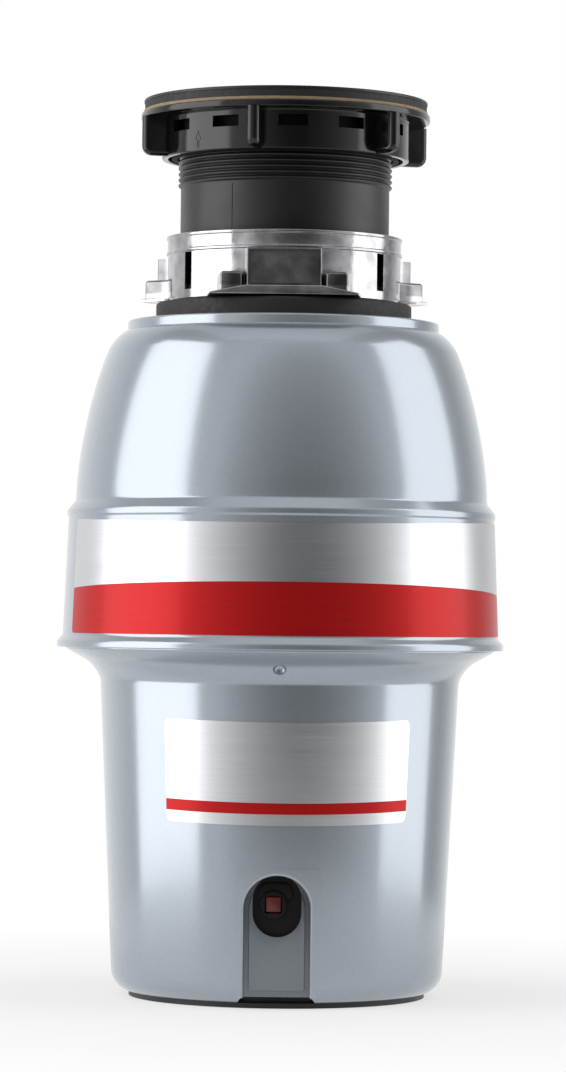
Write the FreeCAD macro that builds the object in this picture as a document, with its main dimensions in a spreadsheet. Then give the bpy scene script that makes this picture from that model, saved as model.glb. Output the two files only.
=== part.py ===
"""Kitchen garbage disposal: a continuous-feed food-waste disposer that hangs under a sink.

Every sub-part is a labelled PartDesign body of one parametric document. The driving dimensions
are the cells of the spreadsheet, in millimetres and degrees, and sketches, features and
placements are bound to them. +Z is up, the front (reset button and labels) faces -Y, the drain
port faces +Y, and the origin is the middle of the foot that the unit stands on before it is hung.
"""

import FreeCAD, Part
import math
import os

import Sketcher
from FreeCAD import Placement, Rotation, Vector

DIMENSIONS = {
    "wall": 2.5,
    "gap": 0.3,
    "overlap": 1.0,
    "inner_step": 1.0,
    "opening_clearance": 1.5,
    # lower shell: a tapered cup with a cove under the belt
    "foot_low": 2.0,
    "foot_radius": 60.3,
    "foot_hole": 56.0,
    "foot_round": 9.0,
    "cup_low": 10.5,
    "cup_low_radius": 66.7,
    "cup_high": 126.0,
    "cup_high_radius": 72.2,
    "cove_round": 14.0,
    "cove_high": 134.9,
    "cove_high_radius": 79.0,
    "seam": 139.5,
    "shoulder_radius": 86.2,
    "collar_radius": 84.8,
    "collar_high": 150.0,
    # arch at the foot of the lower shell, with the window for the reset button
    "arch_half_width": 12.9,
    "arch_centre": 39.1,
    "arch_border": 2.4,
    "arch_block_face": 64.5,
    "panel_face": 63.0,
    "panel_low": 4.7,
    "facet_angle": 27.0,
    "facet_high": 55.0,
    "facet_rise": 0.45,
    "window_radius": 9.5,
    "window_low": 37.5,
    "window_high": 41.8,
    # upper shell: lip, belt, bead, dome and crown
    "lip_radius": 90.0,
    "lip_high": 142.2,
    "belt_low": 144.4,
    "belt_low_radius": 87.7,
    "belt_high": 191.5,
    "belt_high_radius": 85.8,
    "bead_radius": 86.3,
    "bead_high": 194.2,
    "dome_low": 198.4,
    "dome_low_radius": 83.0,
    "dome_high": 260.5,
    "dome_high_radius": 69.2,
    "dome_round": 180.0,
    "crown_low": 266.3,
    "crown_low_radius": 63.8,
    "crown_round": 7.0,
    "crown_radius": 62.8,
    "crown_high": 271.0,
    "crown_hole": 53.0,
    # reset button and the overload protector behind the window
    "protector_half_width": 11.0,
    "protector_low": 26.5,
    "protector_high": 53.5,
    "protector_back": 50.0,
    "button_x": -1.4,
    "button_z": 40.6,
    "button_half": 3.1,
    "button_face": 62.4,
    "button_depth": 6.0,
    "button_collar_radius": 5.3,
    "button_collar_face": 63.2,
    # base cover, its screws and the cord inlet
    "base_radius": 59.5,
    "base_floor": 4.0,
    "base_top": 6.5,
    "base_foot_width": 5.5,
    "post_circle": 49.5,
    "post_radius": 4.0,
    "inlet_y": 31.0,
    "inlet_hole": 11.1,
    "inlet_bore": 4.5,
    "bush_collar_radius": 13.1,
    "bush_lip": 1.5,
    "bush_head": 3.0,
    "vent_inner": 8.0,
    "vent_outer": 15.0,
    "vent_half_width": 1.2,
    "vent_angle": 18.0,
    "ground_screw_x": 22.0,
    "screw_head": 3.0,
    "base_screw_head": 2.0,
    # foil labels
    "foil": 0.25,
    "belt_label_angle": 178.0,
    "belt_label_middle": -71.0,
    "belt_label_low": 145.0,
    "belt_label_high": 190.5,
    "front_label_angle": 84.0,
    "front_label_middle": -86.5,
    "front_label_low": 71.5,
    "front_label_high": 112.7,
    # hopper: the grinding chamber with its neck, flange and dishwasher inlet
    "neck_radius": 40.8,
    "neck_bore": 38.0,
    "neck_high": 280.0,
    "shelf_high": 264.3,
    "shelf_radius": 56.0,
    "chamber_radius": 66.0,
    "chamber_bore": 62.5,
    "chamber_round": 10.0,
    "flange_radius": 75.5,
    "flange_high": 201.7,
    "flange_low": 197.7,
    "nipple_z": 236.0,
    "nipple_radius": 11.1,
    "nipple_bore": 8.0,
    "nipple_end": 89.0,
    "nipple_boss_radius": 13.0,
    "nipple_boss_end": 70.0,
    # drain chamber under the turntable, with the discharge port at the back
    "plate_radius": 84.4,
    "plate_high": 153.0,
    "drain_radius": 66.5,
    "drain_bore": 63.5,
    "drain_flange_low": 193.0,
    "drain_flange_high": 196.5,
    "seal_radius": 10.0,
    "seal_hub_radius": 14.0,
    "seal_high": 160.0,
    "slinger_radius": 16.0,
    "slinger_low": 162.0,
    "slinger_high": 165.0,
    "port_z": 172.2,
    "port_bore": 18.5,
    "port_radius": 22.0,
    "port_face": 88.5,
    "port_flange_depth": 4.2,
    "port_half_width": 35.0,
    "port_half_height": 21.0,
    "port_screw_x": 28.5,
    "port_screw_hole": 2.1,
    "port_screw_depth": 12.0,
    "clamp_circle": 71.5,
    "clamp_hole": 2.3,
    "clamp_head": 3.8,
    # grinding set
    "grind_ring_radius": 63.0,
    "grind_ring_bore": 60.6,
    "grind_ring_high": 215.8,
    "turntable_radius": 59.6,
    "turntable_low": 196.0,
    "turntable_high": 198.2,
    "turntable_hub_low": 188.0,
    "turntable_hub_radius": 12.0,
    "drain_hole_circle": 50.5,
    "drain_hole_radius": 2.5,
    "washer_radius": 11.0,
    "washer_thickness": 1.0,
    "hexagon_radius": 9.0,
    "hexagon_height": 6.0,
    "tooth_gap_half": 2.0,
    "pivot_circle": 35.5,
    "pin_radius": 3.0,
    "pin_head_radius": 5.0,
    "pin_head": 1.5,
    "impeller_low": 198.5,
    "impeller_plate_high": 203.0,
    "impeller_high": 213.0,
    "impeller_reach": 23.0,
    "impeller_eye": 8.0,
    "impeller_nose": 5.5,
    # motor
    "shaft_radius": 6.0,
    "shaft_low": 20.0,
    "shaft_high": 209.0,
    "running_fit": 0.05,
    "bearing_radius": 10.0,
    "bearing_wall": 4.0,
    "thrust_washer": 1.2,
    "frame_radius": 48.5,
    "frame_plate": 4.0,
    "frame_ear_radius": 5.5,
    "bolt_circle": 51.8,
    "bolt_radius": 2.2,
    "lower_hub_low": 26.0,
    "can_low": 42.0,
    "can_high": 134.0,
    "can_radius": 47.0,
    "can_bore": 44.0,
    "magnet_bore": 36.2,
    "magnet_low": 60.0,
    "magnet_high": 124.0,
    "magnet_angle": 130.0,
    "core_radius": 35.2,
    "core_low": 66.0,
    "core_high": 118.0,
    "core_slot_root": 21.0,
    "core_slot_half": 1.6,
    "winding_height": 10.0,
    "winding_radius": 33.0,
    "winding_bore": 17.5,
    "winding_round": 3.0,
    "commutator_radius": 13.0,
    "commutator_low": 44.0,
    "commutator_high": 55.0,
    "slit_depth": 1.5,
    "slit_half": 0.3,
    "brush_z": 49.5,
    "brush_half": 3.0,
    "brush_length": 12.0,
    "holder_wall": 1.2,
    "holder_start": 16.0,
    "holder_end": 41.0,
    "spring_wire": 0.4,
    "rectifier_near": 18.0,
    "rectifier_far": 40.0,
    "rectifier_half": 11.0,
    "rectifier_height": 9.0,
    # rubber cushion between the hopper's neck and the mounting ring
    "cushion_radius": 51.6,
    "cushion_high": 278.4,
    "cushion_groove_radius": 44.2,
    "cushion_lip_radius": 45.6,
    "cushion_lip_taper": 0.8,
    "cushion_lip_low": 281.9,
    "cushion_lip_high": 284.8,
    # die-cast mounting ring
    "ring_low": 278.8,
    "ring_ledge_high": 282.4,
    "ring_flange_bore": 44.5,
    "ring_bore": 45.9,
    "ring_radius": 47.0,
    "band_low": 297.4,
    "band_high": 305.0,
    "band_radius": 47.7,
    "band_bore": 42.8,
    "notch_radius": 46.2,
    "notch_angle": 36.0,
    "lug_face": 51.2,
    "lug_half_width": 16.0,
    "ledge_face": 51.3,
    "ledge_half_width": 28.0,
    "lump_near": 17.3,
    "lump_far": 24.5,
    "lump_face": 49.0,
    "lump_high": 288.0,
    "slot_half_width": 2.3,
    "slot_angle": 54.5,
    # sink flange with its thread
    "tube_radius": 42.2,
    "tube_bore": 37.0,
    "tube_low": 285.3,
    "tab_radius": 45.4,
    "tab_angle": 30.0,
    "tab_low": 290.0,
    "tab_high": 296.8,
    "guard_ledge": 330.0,
    "guard_bore": 39.4,
    "thread_radius": 43.1,
    "thread_low": 324.9,
    "thread_pitch": 2.3,
    "rim_radius": 57.3,
    "rim_low": 359.2,
    "rim_high": 360.4,
    "trim_thickness": 0.6,
    "trim_low": 347.0,
    "trim_radius": 55.4,
    # nut and gaskets that clamp the flange to the sink
    "nut_low": 336.5,
    "nut_flange_low": 352.3,
    "nut_high": 355.0,
    "nut_bore": 43.4,
    "nut_radius": 50.0,
    "nut_flange_radius": 58.4,
    "nut_hollow_inner": 46.0,
    "ear_radius": 60.2,
    "ear_width": 4.9,
    "ear_round": 4.0,
    "nut_slot_low": 345.5,
    "nut_slot_high": 350.3,
    "nut_slot_half": 5.85,
    "nut_slot_angle": 16.0,
    "nut_turn": -12.6,
    "fiber_radius": 57.4,
    "fiber_high": 356.2,
    "gasket_radius": 57.0,
    # removable splash guard
    "guard_radius": 38.3,
    "guard_high": 344.0,
    "guard_web_low": 333.0,
    "guard_web": 2.0,
    "guard_hole": 13.0,
    "guard_slit_half": 0.4,
    "guard_slit_end": 32.0,
}
THREAD_TURNS = 12
LUGS = 3
EARS = 6
CLAMP_SCREWS = 6
BASE_SCREWS = 3
THROUGH_BOLTS = 4
GRIND_TEETH = 24
ARMATURE_SLOTS = 12
GUARD_FLAPS = 8
TURNTABLE_HOLES = 8
VENTS = 10
PAIR = 2
SPRING_COILS = 6

doc = FreeCAD.newDocument("garbage_disposal")
sheet = doc.addObject("Spreadsheet::Sheet", "Sizes")
for row, (alias, value) in enumerate(DIMENSIONS.items(), start=1):
    sheet.set(f"A{row}", alias)
    sheet.set(f"B{row}", str(value))
    sheet.setAlias(f"B{row}", alias)
doc.recompute()


# ------------------------------------------------------------------ sizes that keep their formula


class Size:
    """A number together with the spreadsheet expression that it comes from."""

    def __init__(self, value, text):
        self.value = value
        self.text = text

    def __add__(self, other):
        return Size(self.value + number(other), f"({self.text} + {formula(other)})")

    def __sub__(self, other):
        return Size(self.value - number(other), f"({self.text} - {formula(other)})")

    def __mul__(self, other):
        return Size(self.value * number(other), f"({self.text} * {formula(other)})")

    def __truediv__(self, other):
        return Size(self.value / number(other), f"({self.text} / {formula(other)})")

    def __neg__(self):
        return Size(-self.value, f"(-1 * {self.text})")


class Cells:
    """S.alias is the cell of that name."""

    def __getattr__(self, alias):
        return Size(DIMENSIONS[alias], f"Sizes.{alias}")


S = Cells()


def number(size):
    return size.value if isinstance(size, Size) else size


def formula(size):
    return size.text if isinstance(size, Size) else repr(float(size))


def cosine(angle):
    return Size(math.cos(math.radians(number(angle))), f"cos({formula(angle)})")


def sine(angle):
    return Size(math.sin(math.radians(number(angle))), f"sin({formula(angle)})")


# ------------------------------------------------------------------ sketch outlines


class Arc:
    """Between two points of an outline: a round stretch that bulges to one side of the way."""

    def __init__(self, radius, bulge):
        self.radius = radius
        self.bulge = bulge


def bulge_left(radius):
    return Arc(radius, 1)


def bulge_right(radius):
    return Arc(radius, -1)


class Circle:
    def __init__(self, x, y, radius):
        self.x = x
        self.y = y
        self.radius = radius


def box(left, right, low, high):
    return [(left, low), (right, low), (right, high), (left, high)]


def band(inner, outer, low, high):
    return box(inner, outer, low, high)


def wedge(inner, outer, angle):
    """A stretch of a ring, half of the angle to either side of +X."""
    x, y = cosine(angle / 2), sine(angle / 2)
    near = (x * inner, y * inner)
    far = (x * outer, y * outer)
    return [
        near,
        (near[0], -near[1]),
        (far[0], -far[1]),
        bulge_right(outer),
        far,
    ]


def pin(sketch, geometry, point, x, y):
    """Holds a point of the sketch at (x, y)."""
    for kind, size in (("DistanceX", x), ("DistanceY", y)):
        index = sketch.addConstraint(Sketcher.Constraint(kind, -1, 1, geometry, point, number(size)))
        if isinstance(size, Size):
            sketch.setExpression(f"Constraints[{index}]", size.text)


def set_radius(sketch, geometry, radius):
    index = sketch.addConstraint(Sketcher.Constraint("Radius", geometry, number(radius)))
    if isinstance(radius, Size):
        sketch.setExpression(f"Constraints[{index}]", radius.text)


def draw_arc(sketch, start, end, arc):
    """Draws an arc; returns it with the point codes of its start and end along the outline."""
    chord = end - start
    to_left = Vector(-chord.y, chord.x, 0).normalize()
    radius = number(arc.radius)
    rise = math.sqrt(radius**2 - (chord.Length / 2) ** 2)
    centre = (start + end) / 2 - to_left * rise * arc.bulge
    # a sketch arc runs anticlockwise, so one that bulges to the left is drawn from its far end
    first, last = (end, start) if arc.bulge > 0 else (start, end)
    low, high = (math.atan2(point.y - centre.y, point.x - centre.x) for point in (first, last))
    circle = Part.Circle(centre, Vector(0, 0, 1), radius)
    geometry = sketch.addGeometry(Part.ArcOfCircle(circle, low, high), False)
    set_radius(sketch, geometry, arc.radius)
    return (geometry, 2, 1) if arc.bulge > 0 else (geometry, 1, 2)


def draw_outline(sketch, path):
    """A closed outline: (x, y) points, with an Arc between two of them where it is round."""
    points = []
    arcs = {}
    for step in path:
        if isinstance(step, Arc):
            arcs[len(points) - 1] = step
        else:
            points.append(step)
    corners = [Vector(number(x), number(y), 0) for x, y in points]
    sides = []
    for index, start in enumerate(corners):
        end = corners[(index + 1) % len(corners)]
        if index in arcs:
            sides.append(draw_arc(sketch, start, end, arcs[index]))
        else:
            sides.append((sketch.addGeometry(Part.LineSegment(start, end), False), 1, 2))
    for index, (geometry, tail, _) in enumerate(sides):
        before, _, head = sides[index - 1]
        sketch.addConstraint(Sketcher.Constraint("Coincident", before, head, geometry, tail))
        pin(sketch, geometry, tail, *points[index])


def draw(sketch, loop):
    if isinstance(loop, Circle):
        centre = Vector(number(loop.x), number(loop.y), 0)
        circle = Part.Circle(centre, Vector(0, 0, 1), number(loop.radius))
        geometry = sketch.addGeometry(circle, False)
        pin(sketch, geometry, 3, loop.x, loop.y)
        set_radius(sketch, geometry, loop.radius)
    else:
        draw_outline(sketch, loop)


# ------------------------------------------------------------------ sub-parts


class Piece:
    """A sub-part: one body, built up feature by feature.

    A profile is drawn on TOP (x, y), on FRONT (x, z), whose normal points to -Y, or on SIDE
    (y, z), and from_ and to are distances along the plane's normal.
    """

    TOP = "XY_Plane"
    FRONT = "XZ_Plane"
    SIDE = "YZ_Plane"

    def __init__(self, label, turn=None):
        self.body = doc.addObject("PartDesign::Body", label)
        self.body.Label = label
        self.body.AllowCompound = True
        if turn is not None:
            self.body.Placement = Placement(Vector(), Rotation(Vector(0, 0, 1), number(turn)))
            self.body.setExpression("Placement.Rotation.Angle", formula(turn))

    def _datum(self, role):
        return next(item for item in self.body.Origin.OriginFeatures if item.Role == role)

    def _sketch(self, plane, offset, turn, loops):
        sketch = self.body.newObject("Sketcher::SketchObject", "Sketch")
        sketch.AttachmentSupport = (self._datum(plane), [""])
        sketch.MapMode = "FlatFace"
        up = Vector(0, 0, 1) if plane == self.TOP else Vector(0, 1, 0)
        sketch.AttachmentOffset = Placement(Vector(0, 0, number(offset)), Rotation(up, number(turn)))
        if isinstance(offset, Size):
            sketch.setExpression("AttachmentOffset.Base.z", offset.text)
        for loop in loops:
            draw(sketch, loop)
        return sketch

    def _feature(self, kind, sketch):
        feature = self.body.newObject(kind, kind.split("::")[1])
        feature.Profile = sketch
        sketch.Visibility = False
        self.body.Tip = feature
        return feature

    def turned(self, path, angle=360, cut=False, turn=0):
        """Turns a (radius, z) outline about Z, all round or to both sides of +X."""
        kind = "PartDesign::Groove" if cut else "PartDesign::Revolution"
        sketch = self._sketch(self.FRONT, 0, turn, [path])
        feature = self._feature(kind, sketch)
        feature.ReferenceAxis = (sketch, ["V_Axis"])
        feature.Angle = number(angle)
        feature.setExpression("Angle", formula(angle))
        feature.Midplane = number(angle) < 360
        return feature

    def pad(self, plane, loops, from_, to, turn=0):
        feature = self._feature("PartDesign::Pad", self._sketch(plane, from_, turn, loops))
        feature.setExpression("Length", f"{formula(to)} - {formula(from_)}")
        return feature

    def pocket(self, plane, loops, from_, to, turn=0):
        feature = self._feature("PartDesign::Pocket", self._sketch(plane, from_, turn, loops))
        feature.Reversed = True
        feature.setExpression("Length", f"{formula(to)} - {formula(from_)}")
        return feature

    def turned_about_x(self, path, height):
        """Turns an outline of (x, radius) points about an axis along X at a height."""
        sketch = self._sketch(self.FRONT, 0, 0, [path])
        sketch.setExpression("AttachmentOffset.Base.y", formula(height))
        feature = self._feature("PartDesign::Revolution", sketch)
        feature.ReferenceAxis = (sketch, ["H_Axis"])
        feature.Angle = 360
        return feature

    def repeat(self, count, *features):
        """Repeats features round Z."""
        pattern = self.body.newObject("PartDesign::PolarPattern", "PolarPattern")
        pattern.Originals = list(features)
        pattern.Axis = (self._datum("Z_Axis"), [""])
        pattern.Angle = 360
        pattern.Occurrences = count
        self.body.Tip = pattern
        return pattern


def ring(label, inner, outer, low, high):
    piece = Piece(label)
    piece.turned(band(inner, outer, low, high))
    return piece


def screws(label, count, circle, shank, head, low, high, head_low, head_high, turn=0):
    """A ring of upright screws on a circle, one solid each."""
    piece = Piece(label, turn=turn)
    rod = piece.pad(Piece.TOP, [Circle(circle, 0, shank)], low, high)
    cap = piece.pad(Piece.TOP, [Circle(circle, 0, head)], head_low, head_high)
    piece.repeat(count, rod, cap)
    return piece


# ------------------------------------------------------------------ casing


def cup_radius(height):
    """Outer radius of the lower shell's tapered cup."""
    taper = (S.cup_high_radius - S.cup_low_radius) / (S.cup_high - S.cup_low)
    return S.cup_low_radius + taper * (height - S.cup_low)


def belt_radius(height):
    """Outer radius of the upper shell's tapered belt."""
    taper = (S.belt_low_radius - S.belt_high_radius) / (S.belt_high - S.belt_low)
    return S.belt_low_radius - taper * (height - S.belt_low)


def arch(half_width, low):
    """A round-headed arch whose head is two quarter circles about the arch's centre."""
    return [
        (-half_width, low),
        (half_width, low),
        (half_width, S.arch_centre),
        bulge_right(half_width),
        (0, S.arch_centre + half_width),
        bulge_right(half_width),
        (-half_width, S.arch_centre),
    ]


def lower_shell():
    """Tapered cup with its collar, and the arch that frames the reset button."""
    piece = Piece("lower_shell")
    piece.turned([
        (S.foot_hole, S.foot_low),
        (S.foot_radius, S.foot_low),
        bulge_right(S.foot_round),
        (S.cup_low_radius, S.cup_low),
        (S.cup_high_radius, S.cup_high),
        bulge_left(S.cove_round),
        (S.cove_high_radius, S.cove_high),
        (S.shoulder_radius, S.seam - S.gap),
        (S.shoulder_radius, S.seam),
        (S.collar_radius, S.seam),
        (S.collar_radius, S.collar_high),
        (S.collar_radius - S.wall, S.collar_high),
        (S.collar_radius - S.wall, S.seam + S.inner_step),
        (S.cove_high_radius - S.inner_step, S.cove_high + S.wall),
        bulge_right(S.cove_round + S.wall),
        (S.cup_high_radius - S.wall, S.cup_high),
        (S.cup_low_radius - S.wall, S.cup_low),
        bulge_left(S.foot_round - S.wall),
        (S.foot_radius - S.inner_step, S.foot_low + S.wall),
        (S.foot_hole, S.foot_low + S.wall),
    ])
    facet_low = S.cup_low + S.inner_step
    piece.turned(
        [
            (cup_radius(facet_low) - S.overlap, facet_low),
            (cup_radius(facet_low) + S.facet_rise, facet_low),
            (cup_radius(S.facet_high) + S.facet_rise, S.facet_high),
            (cup_radius(S.facet_high) - S.overlap, S.facet_high),
        ],
        angle=S.facet_angle,
        turn=-90,
    )
    panel_back = S.panel_face - S.arch_border
    border = arch(S.arch_half_width + S.arch_border, facet_low)
    piece.pad(Piece.FRONT, [border], panel_back, S.arch_block_face)
    piece.pocket(Piece.FRONT, [arch(S.arch_half_width, 0)], S.panel_face, S.lip_radius)
    half = S.arch_half_width + S.gap
    foot = box(-half, half, S.panel_low, facet_low + S.overlap)
    piece.pad(Piece.FRONT, [foot], panel_back, S.panel_face)
    piece.pocket(
        Piece.FRONT,
        [[
            (-S.window_radius, S.window_low),
            bulge_right(S.window_radius),
            (0, S.window_low - S.window_radius),
            bulge_right(S.window_radius),
            (S.window_radius, S.window_low),
            (S.window_radius, S.window_high),
            bulge_right(S.window_radius),
            (0, S.window_high + S.window_radius),
            bulge_right(S.window_radius),
            (-S.window_radius, S.window_high),
        ]],
        S.shelf_radius,
        S.lip_radius,
    )


def upper_shell():
    """Lip, belt, bead, dome and crown, open at the back for the drain port and the nipple."""
    piece = Piece("upper_shell")
    inner_lip = S.collar_radius + S.gap / 2
    skirt = S.crown_hole + S.wall
    piece.turned([
        (inner_lip, S.seam),
        (S.lip_radius, S.seam),
        (S.lip_radius, S.lip_high),
        bulge_right(S.wall),
        (S.belt_low_radius, S.belt_low),
        (S.belt_high_radius, S.belt_high),
        (S.bead_radius, S.belt_high + S.inner_step),
        (S.bead_radius, S.bead_high),
        (S.dome_low_radius, S.dome_low),
        bulge_right(S.dome_round),
        (S.dome_high_radius, S.dome_high),
        bulge_right(S.crown_round),
        (S.crown_low_radius, S.crown_low),
        (S.crown_radius, S.crown_low),
        (S.crown_radius, S.crown_high),
        (S.crown_hole, S.crown_high),
        (S.crown_hole, S.shelf_high),
        (skirt, S.shelf_high),
        (skirt, S.crown_high - S.wall),
        (S.crown_radius - S.wall, S.crown_high - S.wall),
        (S.crown_radius - S.wall, S.crown_low - S.inner_step),
        bulge_left(S.crown_round),
        (S.dome_high_radius - S.wall, S.dome_high - S.inner_step),
        bulge_left(S.dome_round),
        (S.dome_low_radius - S.wall, S.dome_low - S.inner_step),
        (S.belt_high_radius - S.wall, S.belt_high),
        (inner_lip, S.collar_high),
    ])
    half_width = S.port_half_width + S.opening_clearance
    half_height = S.port_half_height + S.opening_clearance
    openings = [
        box(-half_width, half_width, S.port_z - half_height, S.port_z + half_height),
        Circle(0, S.nipple_z, S.nipple_boss_radius + S.opening_clearance),
    ]
    piece.pocket(Piece.FRONT, openings, -S.lip_radius, -S.drain_bore)


def base_cover():
    """Black cover with a raised floor, so that screws and cord bush stay off the ground."""
    piece = Piece("base_cover")
    plug = S.foot_hole - S.gap
    foot = S.base_radius - S.base_foot_width
    piece.turned([
        (0, S.base_floor),
        (foot, S.base_floor),
        (foot, 0),
        (S.base_radius, 0),
        (S.base_radius, S.foot_low),
        (plug, S.foot_low),
        (plug, S.base_top),
        (0, S.base_top),
    ])
    piece.pocket(Piece.TOP, [Circle(0, S.inlet_y, S.inlet_hole)], 0, S.base_top)
    hole = piece.pocket(
        Piece.TOP, [Circle(S.post_circle, 0, S.bolt_radius)], 0, S.base_top, turn=-30
    )
    piece.repeat(BASE_SCREWS, hole)
    vent = piece.pocket(
        Piece.TOP,
        [box(S.vent_inner, S.vent_outer, -S.vent_half_width, S.vent_half_width)],
        0,
        S.base_top,
        turn=S.vent_angle,
    )
    piece.repeat(VENTS, vent)


def cord_inlet_bush():
    """Rubber bush that grips the base cover's edge and guides the cord."""
    piece = Piece("cord_inlet_bush")
    y = S.inlet_y
    collar = Circle(0, y, S.bush_collar_radius)
    high = S.base_top + S.bush_head
    piece.pad(Piece.TOP, [collar], S.base_floor - S.bush_lip, S.base_floor)
    piece.pad(Piece.TOP, [Circle(0, y, S.inlet_hole)], S.base_floor, S.base_top)
    piece.pad(Piece.TOP, [collar], S.base_top, high)
    piece.pocket(Piece.TOP, [Circle(0, y, S.inlet_bore)], 0, high)


def overload_protector():
    """Switch body behind the panel, whose round collar carries the button."""
    piece = Piece("overload_protector")
    back = S.panel_face - S.arch_border
    half = S.protector_half_width
    hole = S.button_half + S.gap
    piece.pad(
        Piece.FRONT,
        [box(-half, half, S.protector_low, S.protector_high)],
        S.protector_back,
        back,
    )
    piece.pad(
        Piece.FRONT,
        [Circle(S.button_x, S.button_z, S.button_collar_radius)],
        back,
        S.button_collar_face,
    )
    piece.pocket(
        Piece.FRONT,
        [box(S.button_x - hole, S.button_x + hole, S.button_z - hole, S.button_z + hole)],
        S.button_face - S.button_depth - S.gap,
        S.button_collar_face,
    )


def reset_button():
    piece = Piece("reset_button")
    half = S.button_half
    piece.pad(
        Piece.FRONT,
        [box(S.button_x - half, S.button_x + half, S.button_z - half, S.button_z + half)],
        S.button_face - S.button_depth,
        S.button_face,
    )


def foil(label, radius_at, low, high, angle, middle):
    """A label that follows the taper of the shell it is stuck on."""
    piece = Piece(label, turn=middle)
    piece.turned(
        [
            (radius_at(low), low),
            (radius_at(low) + S.foil, low),
            (radius_at(high) + S.foil, high),
            (radius_at(high), high),
        ],
        angle=angle,
    )


# ------------------------------------------------------------------ wet end


def hopper():
    """Grinding chamber with shelf, neck, bottom flange and a dishwasher nipple closed by its plug."""
    piece = Piece("hopper")
    seat = S.grind_ring_radius
    ceiling = S.shelf_high - S.wall
    piece.turned([
        (seat, S.flange_low),
        (S.flange_radius, S.flange_low),
        (S.flange_radius, S.flange_high),
        (S.chamber_radius, S.flange_high),
        (S.chamber_radius, S.shelf_high - S.chamber_round),
        bulge_right(S.chamber_round),
        (S.chamber_radius - S.chamber_round, S.shelf_high),
        (S.neck_radius, S.shelf_high),
        (S.neck_radius, S.neck_high),
        (S.neck_bore, S.neck_high),
        (S.neck_bore, ceiling),
        (S.chamber_bore - S.chamber_round, ceiling),
        bulge_left(S.chamber_round),
        (S.chamber_bore, ceiling - S.chamber_round),
        (S.chamber_bore, S.grind_ring_high),
        (seat, S.grind_ring_high),
    ])
    wall_middle = S.chamber_bore + S.overlap
    boss = Circle(0, S.nipple_z, S.nipple_boss_radius)
    nipple = Circle(0, S.nipple_z, S.nipple_radius)
    bore = Circle(0, S.nipple_z, S.nipple_bore)
    piece.pad(Piece.FRONT, [boss], -S.nipple_boss_end, -wall_middle)
    piece.pad(Piece.FRONT, [nipple], -S.nipple_end, -S.nipple_boss_end)
    piece.pocket(Piece.FRONT, [bore], -S.nipple_end, -S.chamber_radius)
    hole = piece.pocket(
        Piece.TOP, [Circle(S.clamp_circle, 0, S.clamp_hole)], S.flange_low, S.flange_high
    )
    piece.repeat(CLAMP_SCREWS, hole)


def drain_chamber():
    """Cast chamber: bottom plate, seal hub, wall, top flange and the discharge port."""
    piece = Piece("drain_chamber")
    low = S.collar_high
    piece.turned([
        (S.seal_radius, low),
        (S.plate_radius, low),
        (S.plate_radius, S.plate_high),
        (S.drain_radius, S.plate_high),
        (S.drain_radius, S.drain_flange_low),
        (S.flange_radius, S.drain_flange_low),
        (S.flange_radius, S.drain_flange_high),
        (S.drain_bore, S.drain_flange_high),
        (S.drain_bore, S.plate_high),
        (S.seal_hub_radius, S.plate_high),
        (S.seal_hub_radius, S.seal_high),
        (S.seal_radius, S.seal_high),
    ])
    wall_middle = S.drain_bore + S.overlap
    neck = S.port_face - S.port_flange_depth
    piece.pad(Piece.FRONT, [Circle(0, S.port_z, S.port_radius)], -neck, -wall_middle)
    piece.pad(
        Piece.FRONT,
        [box(
            -S.port_half_width,
            S.port_half_width,
            S.port_z - S.port_half_height,
            S.port_z + S.port_half_height,
        )],
        -S.port_face,
        -neck,
    )
    piece.pocket(Piece.FRONT, [Circle(0, S.port_z, S.port_bore)], -S.port_face, -S.shelf_radius)
    for side in (-1, 1):
        x = S.port_screw_x * side
        boss_end = S.port_face - S.port_screw_depth
        piece.pad(
            Piece.FRONT, [Circle(x, S.port_z, S.port_screw_hole + S.wall)], -neck, -boss_end
        )
        piece.pocket(Piece.FRONT, [Circle(x, S.port_z, S.port_screw_hole)], -S.port_face, -boss_end)
    hole = piece.pocket(
        Piece.TOP,
        [Circle(S.clamp_circle, 0, S.clamp_hole)],
        S.drain_flange_low,
        S.drain_flange_high,
    )
    piece.repeat(CLAMP_SCREWS, hole)


def chamber_seal():
    """Flat gasket between the two flanges."""
    piece = ring("chamber_seal", S.drain_bore, S.flange_radius, S.drain_flange_high, S.flange_low)
    hole = piece.pocket(
        Piece.TOP,
        [Circle(S.clamp_circle, 0, S.clamp_hole)],
        S.drain_flange_high,
        S.flange_low,
    )
    piece.repeat(CLAMP_SCREWS, hole)


def grind_ring():
    """Stationary toothed ring round the turntable."""
    piece = ring("grind_ring", S.grind_ring_bore, S.grind_ring_radius, S.flange_low, S.grind_ring_high)
    low = S.flange_low + S.wall
    high = S.grind_ring_high - S.wall
    outer = S.grind_ring_radius - S.overlap
    tooth_gap = piece.pocket(
        Piece.TOP,
        [box(S.turntable_radius, outer, -S.tooth_gap_half, S.tooth_gap_half)],
        low,
        high,
    )
    piece.repeat(GRIND_TEETH, tooth_gap)


def turntable():
    """Spinning plate with its hub, the two pin holes and a circle of small drain holes."""
    piece = Piece("turntable")
    piece.turned([
        (S.shaft_radius, S.turntable_hub_low),
        (S.turntable_hub_radius, S.turntable_hub_low),
        (S.turntable_hub_radius, S.turntable_low),
        (S.turntable_radius, S.turntable_low),
        (S.turntable_radius, S.turntable_high),
        (S.shaft_radius, S.turntable_high),
    ])
    pin_hole = piece.pocket(
        Piece.TOP, [Circle(S.pivot_circle, 0, S.pin_radius)], S.turntable_low, S.turntable_high
    )
    piece.repeat(PAIR, pin_hole)
    drain_hole = piece.pocket(
        Piece.TOP,
        [Circle(S.drain_hole_circle, 0, S.drain_hole_radius)],
        S.turntable_low,
        S.turntable_high,
        turn=180 / TURNTABLE_HOLES,
    )
    piece.repeat(TURNTABLE_HOLES, drain_hole)


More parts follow.
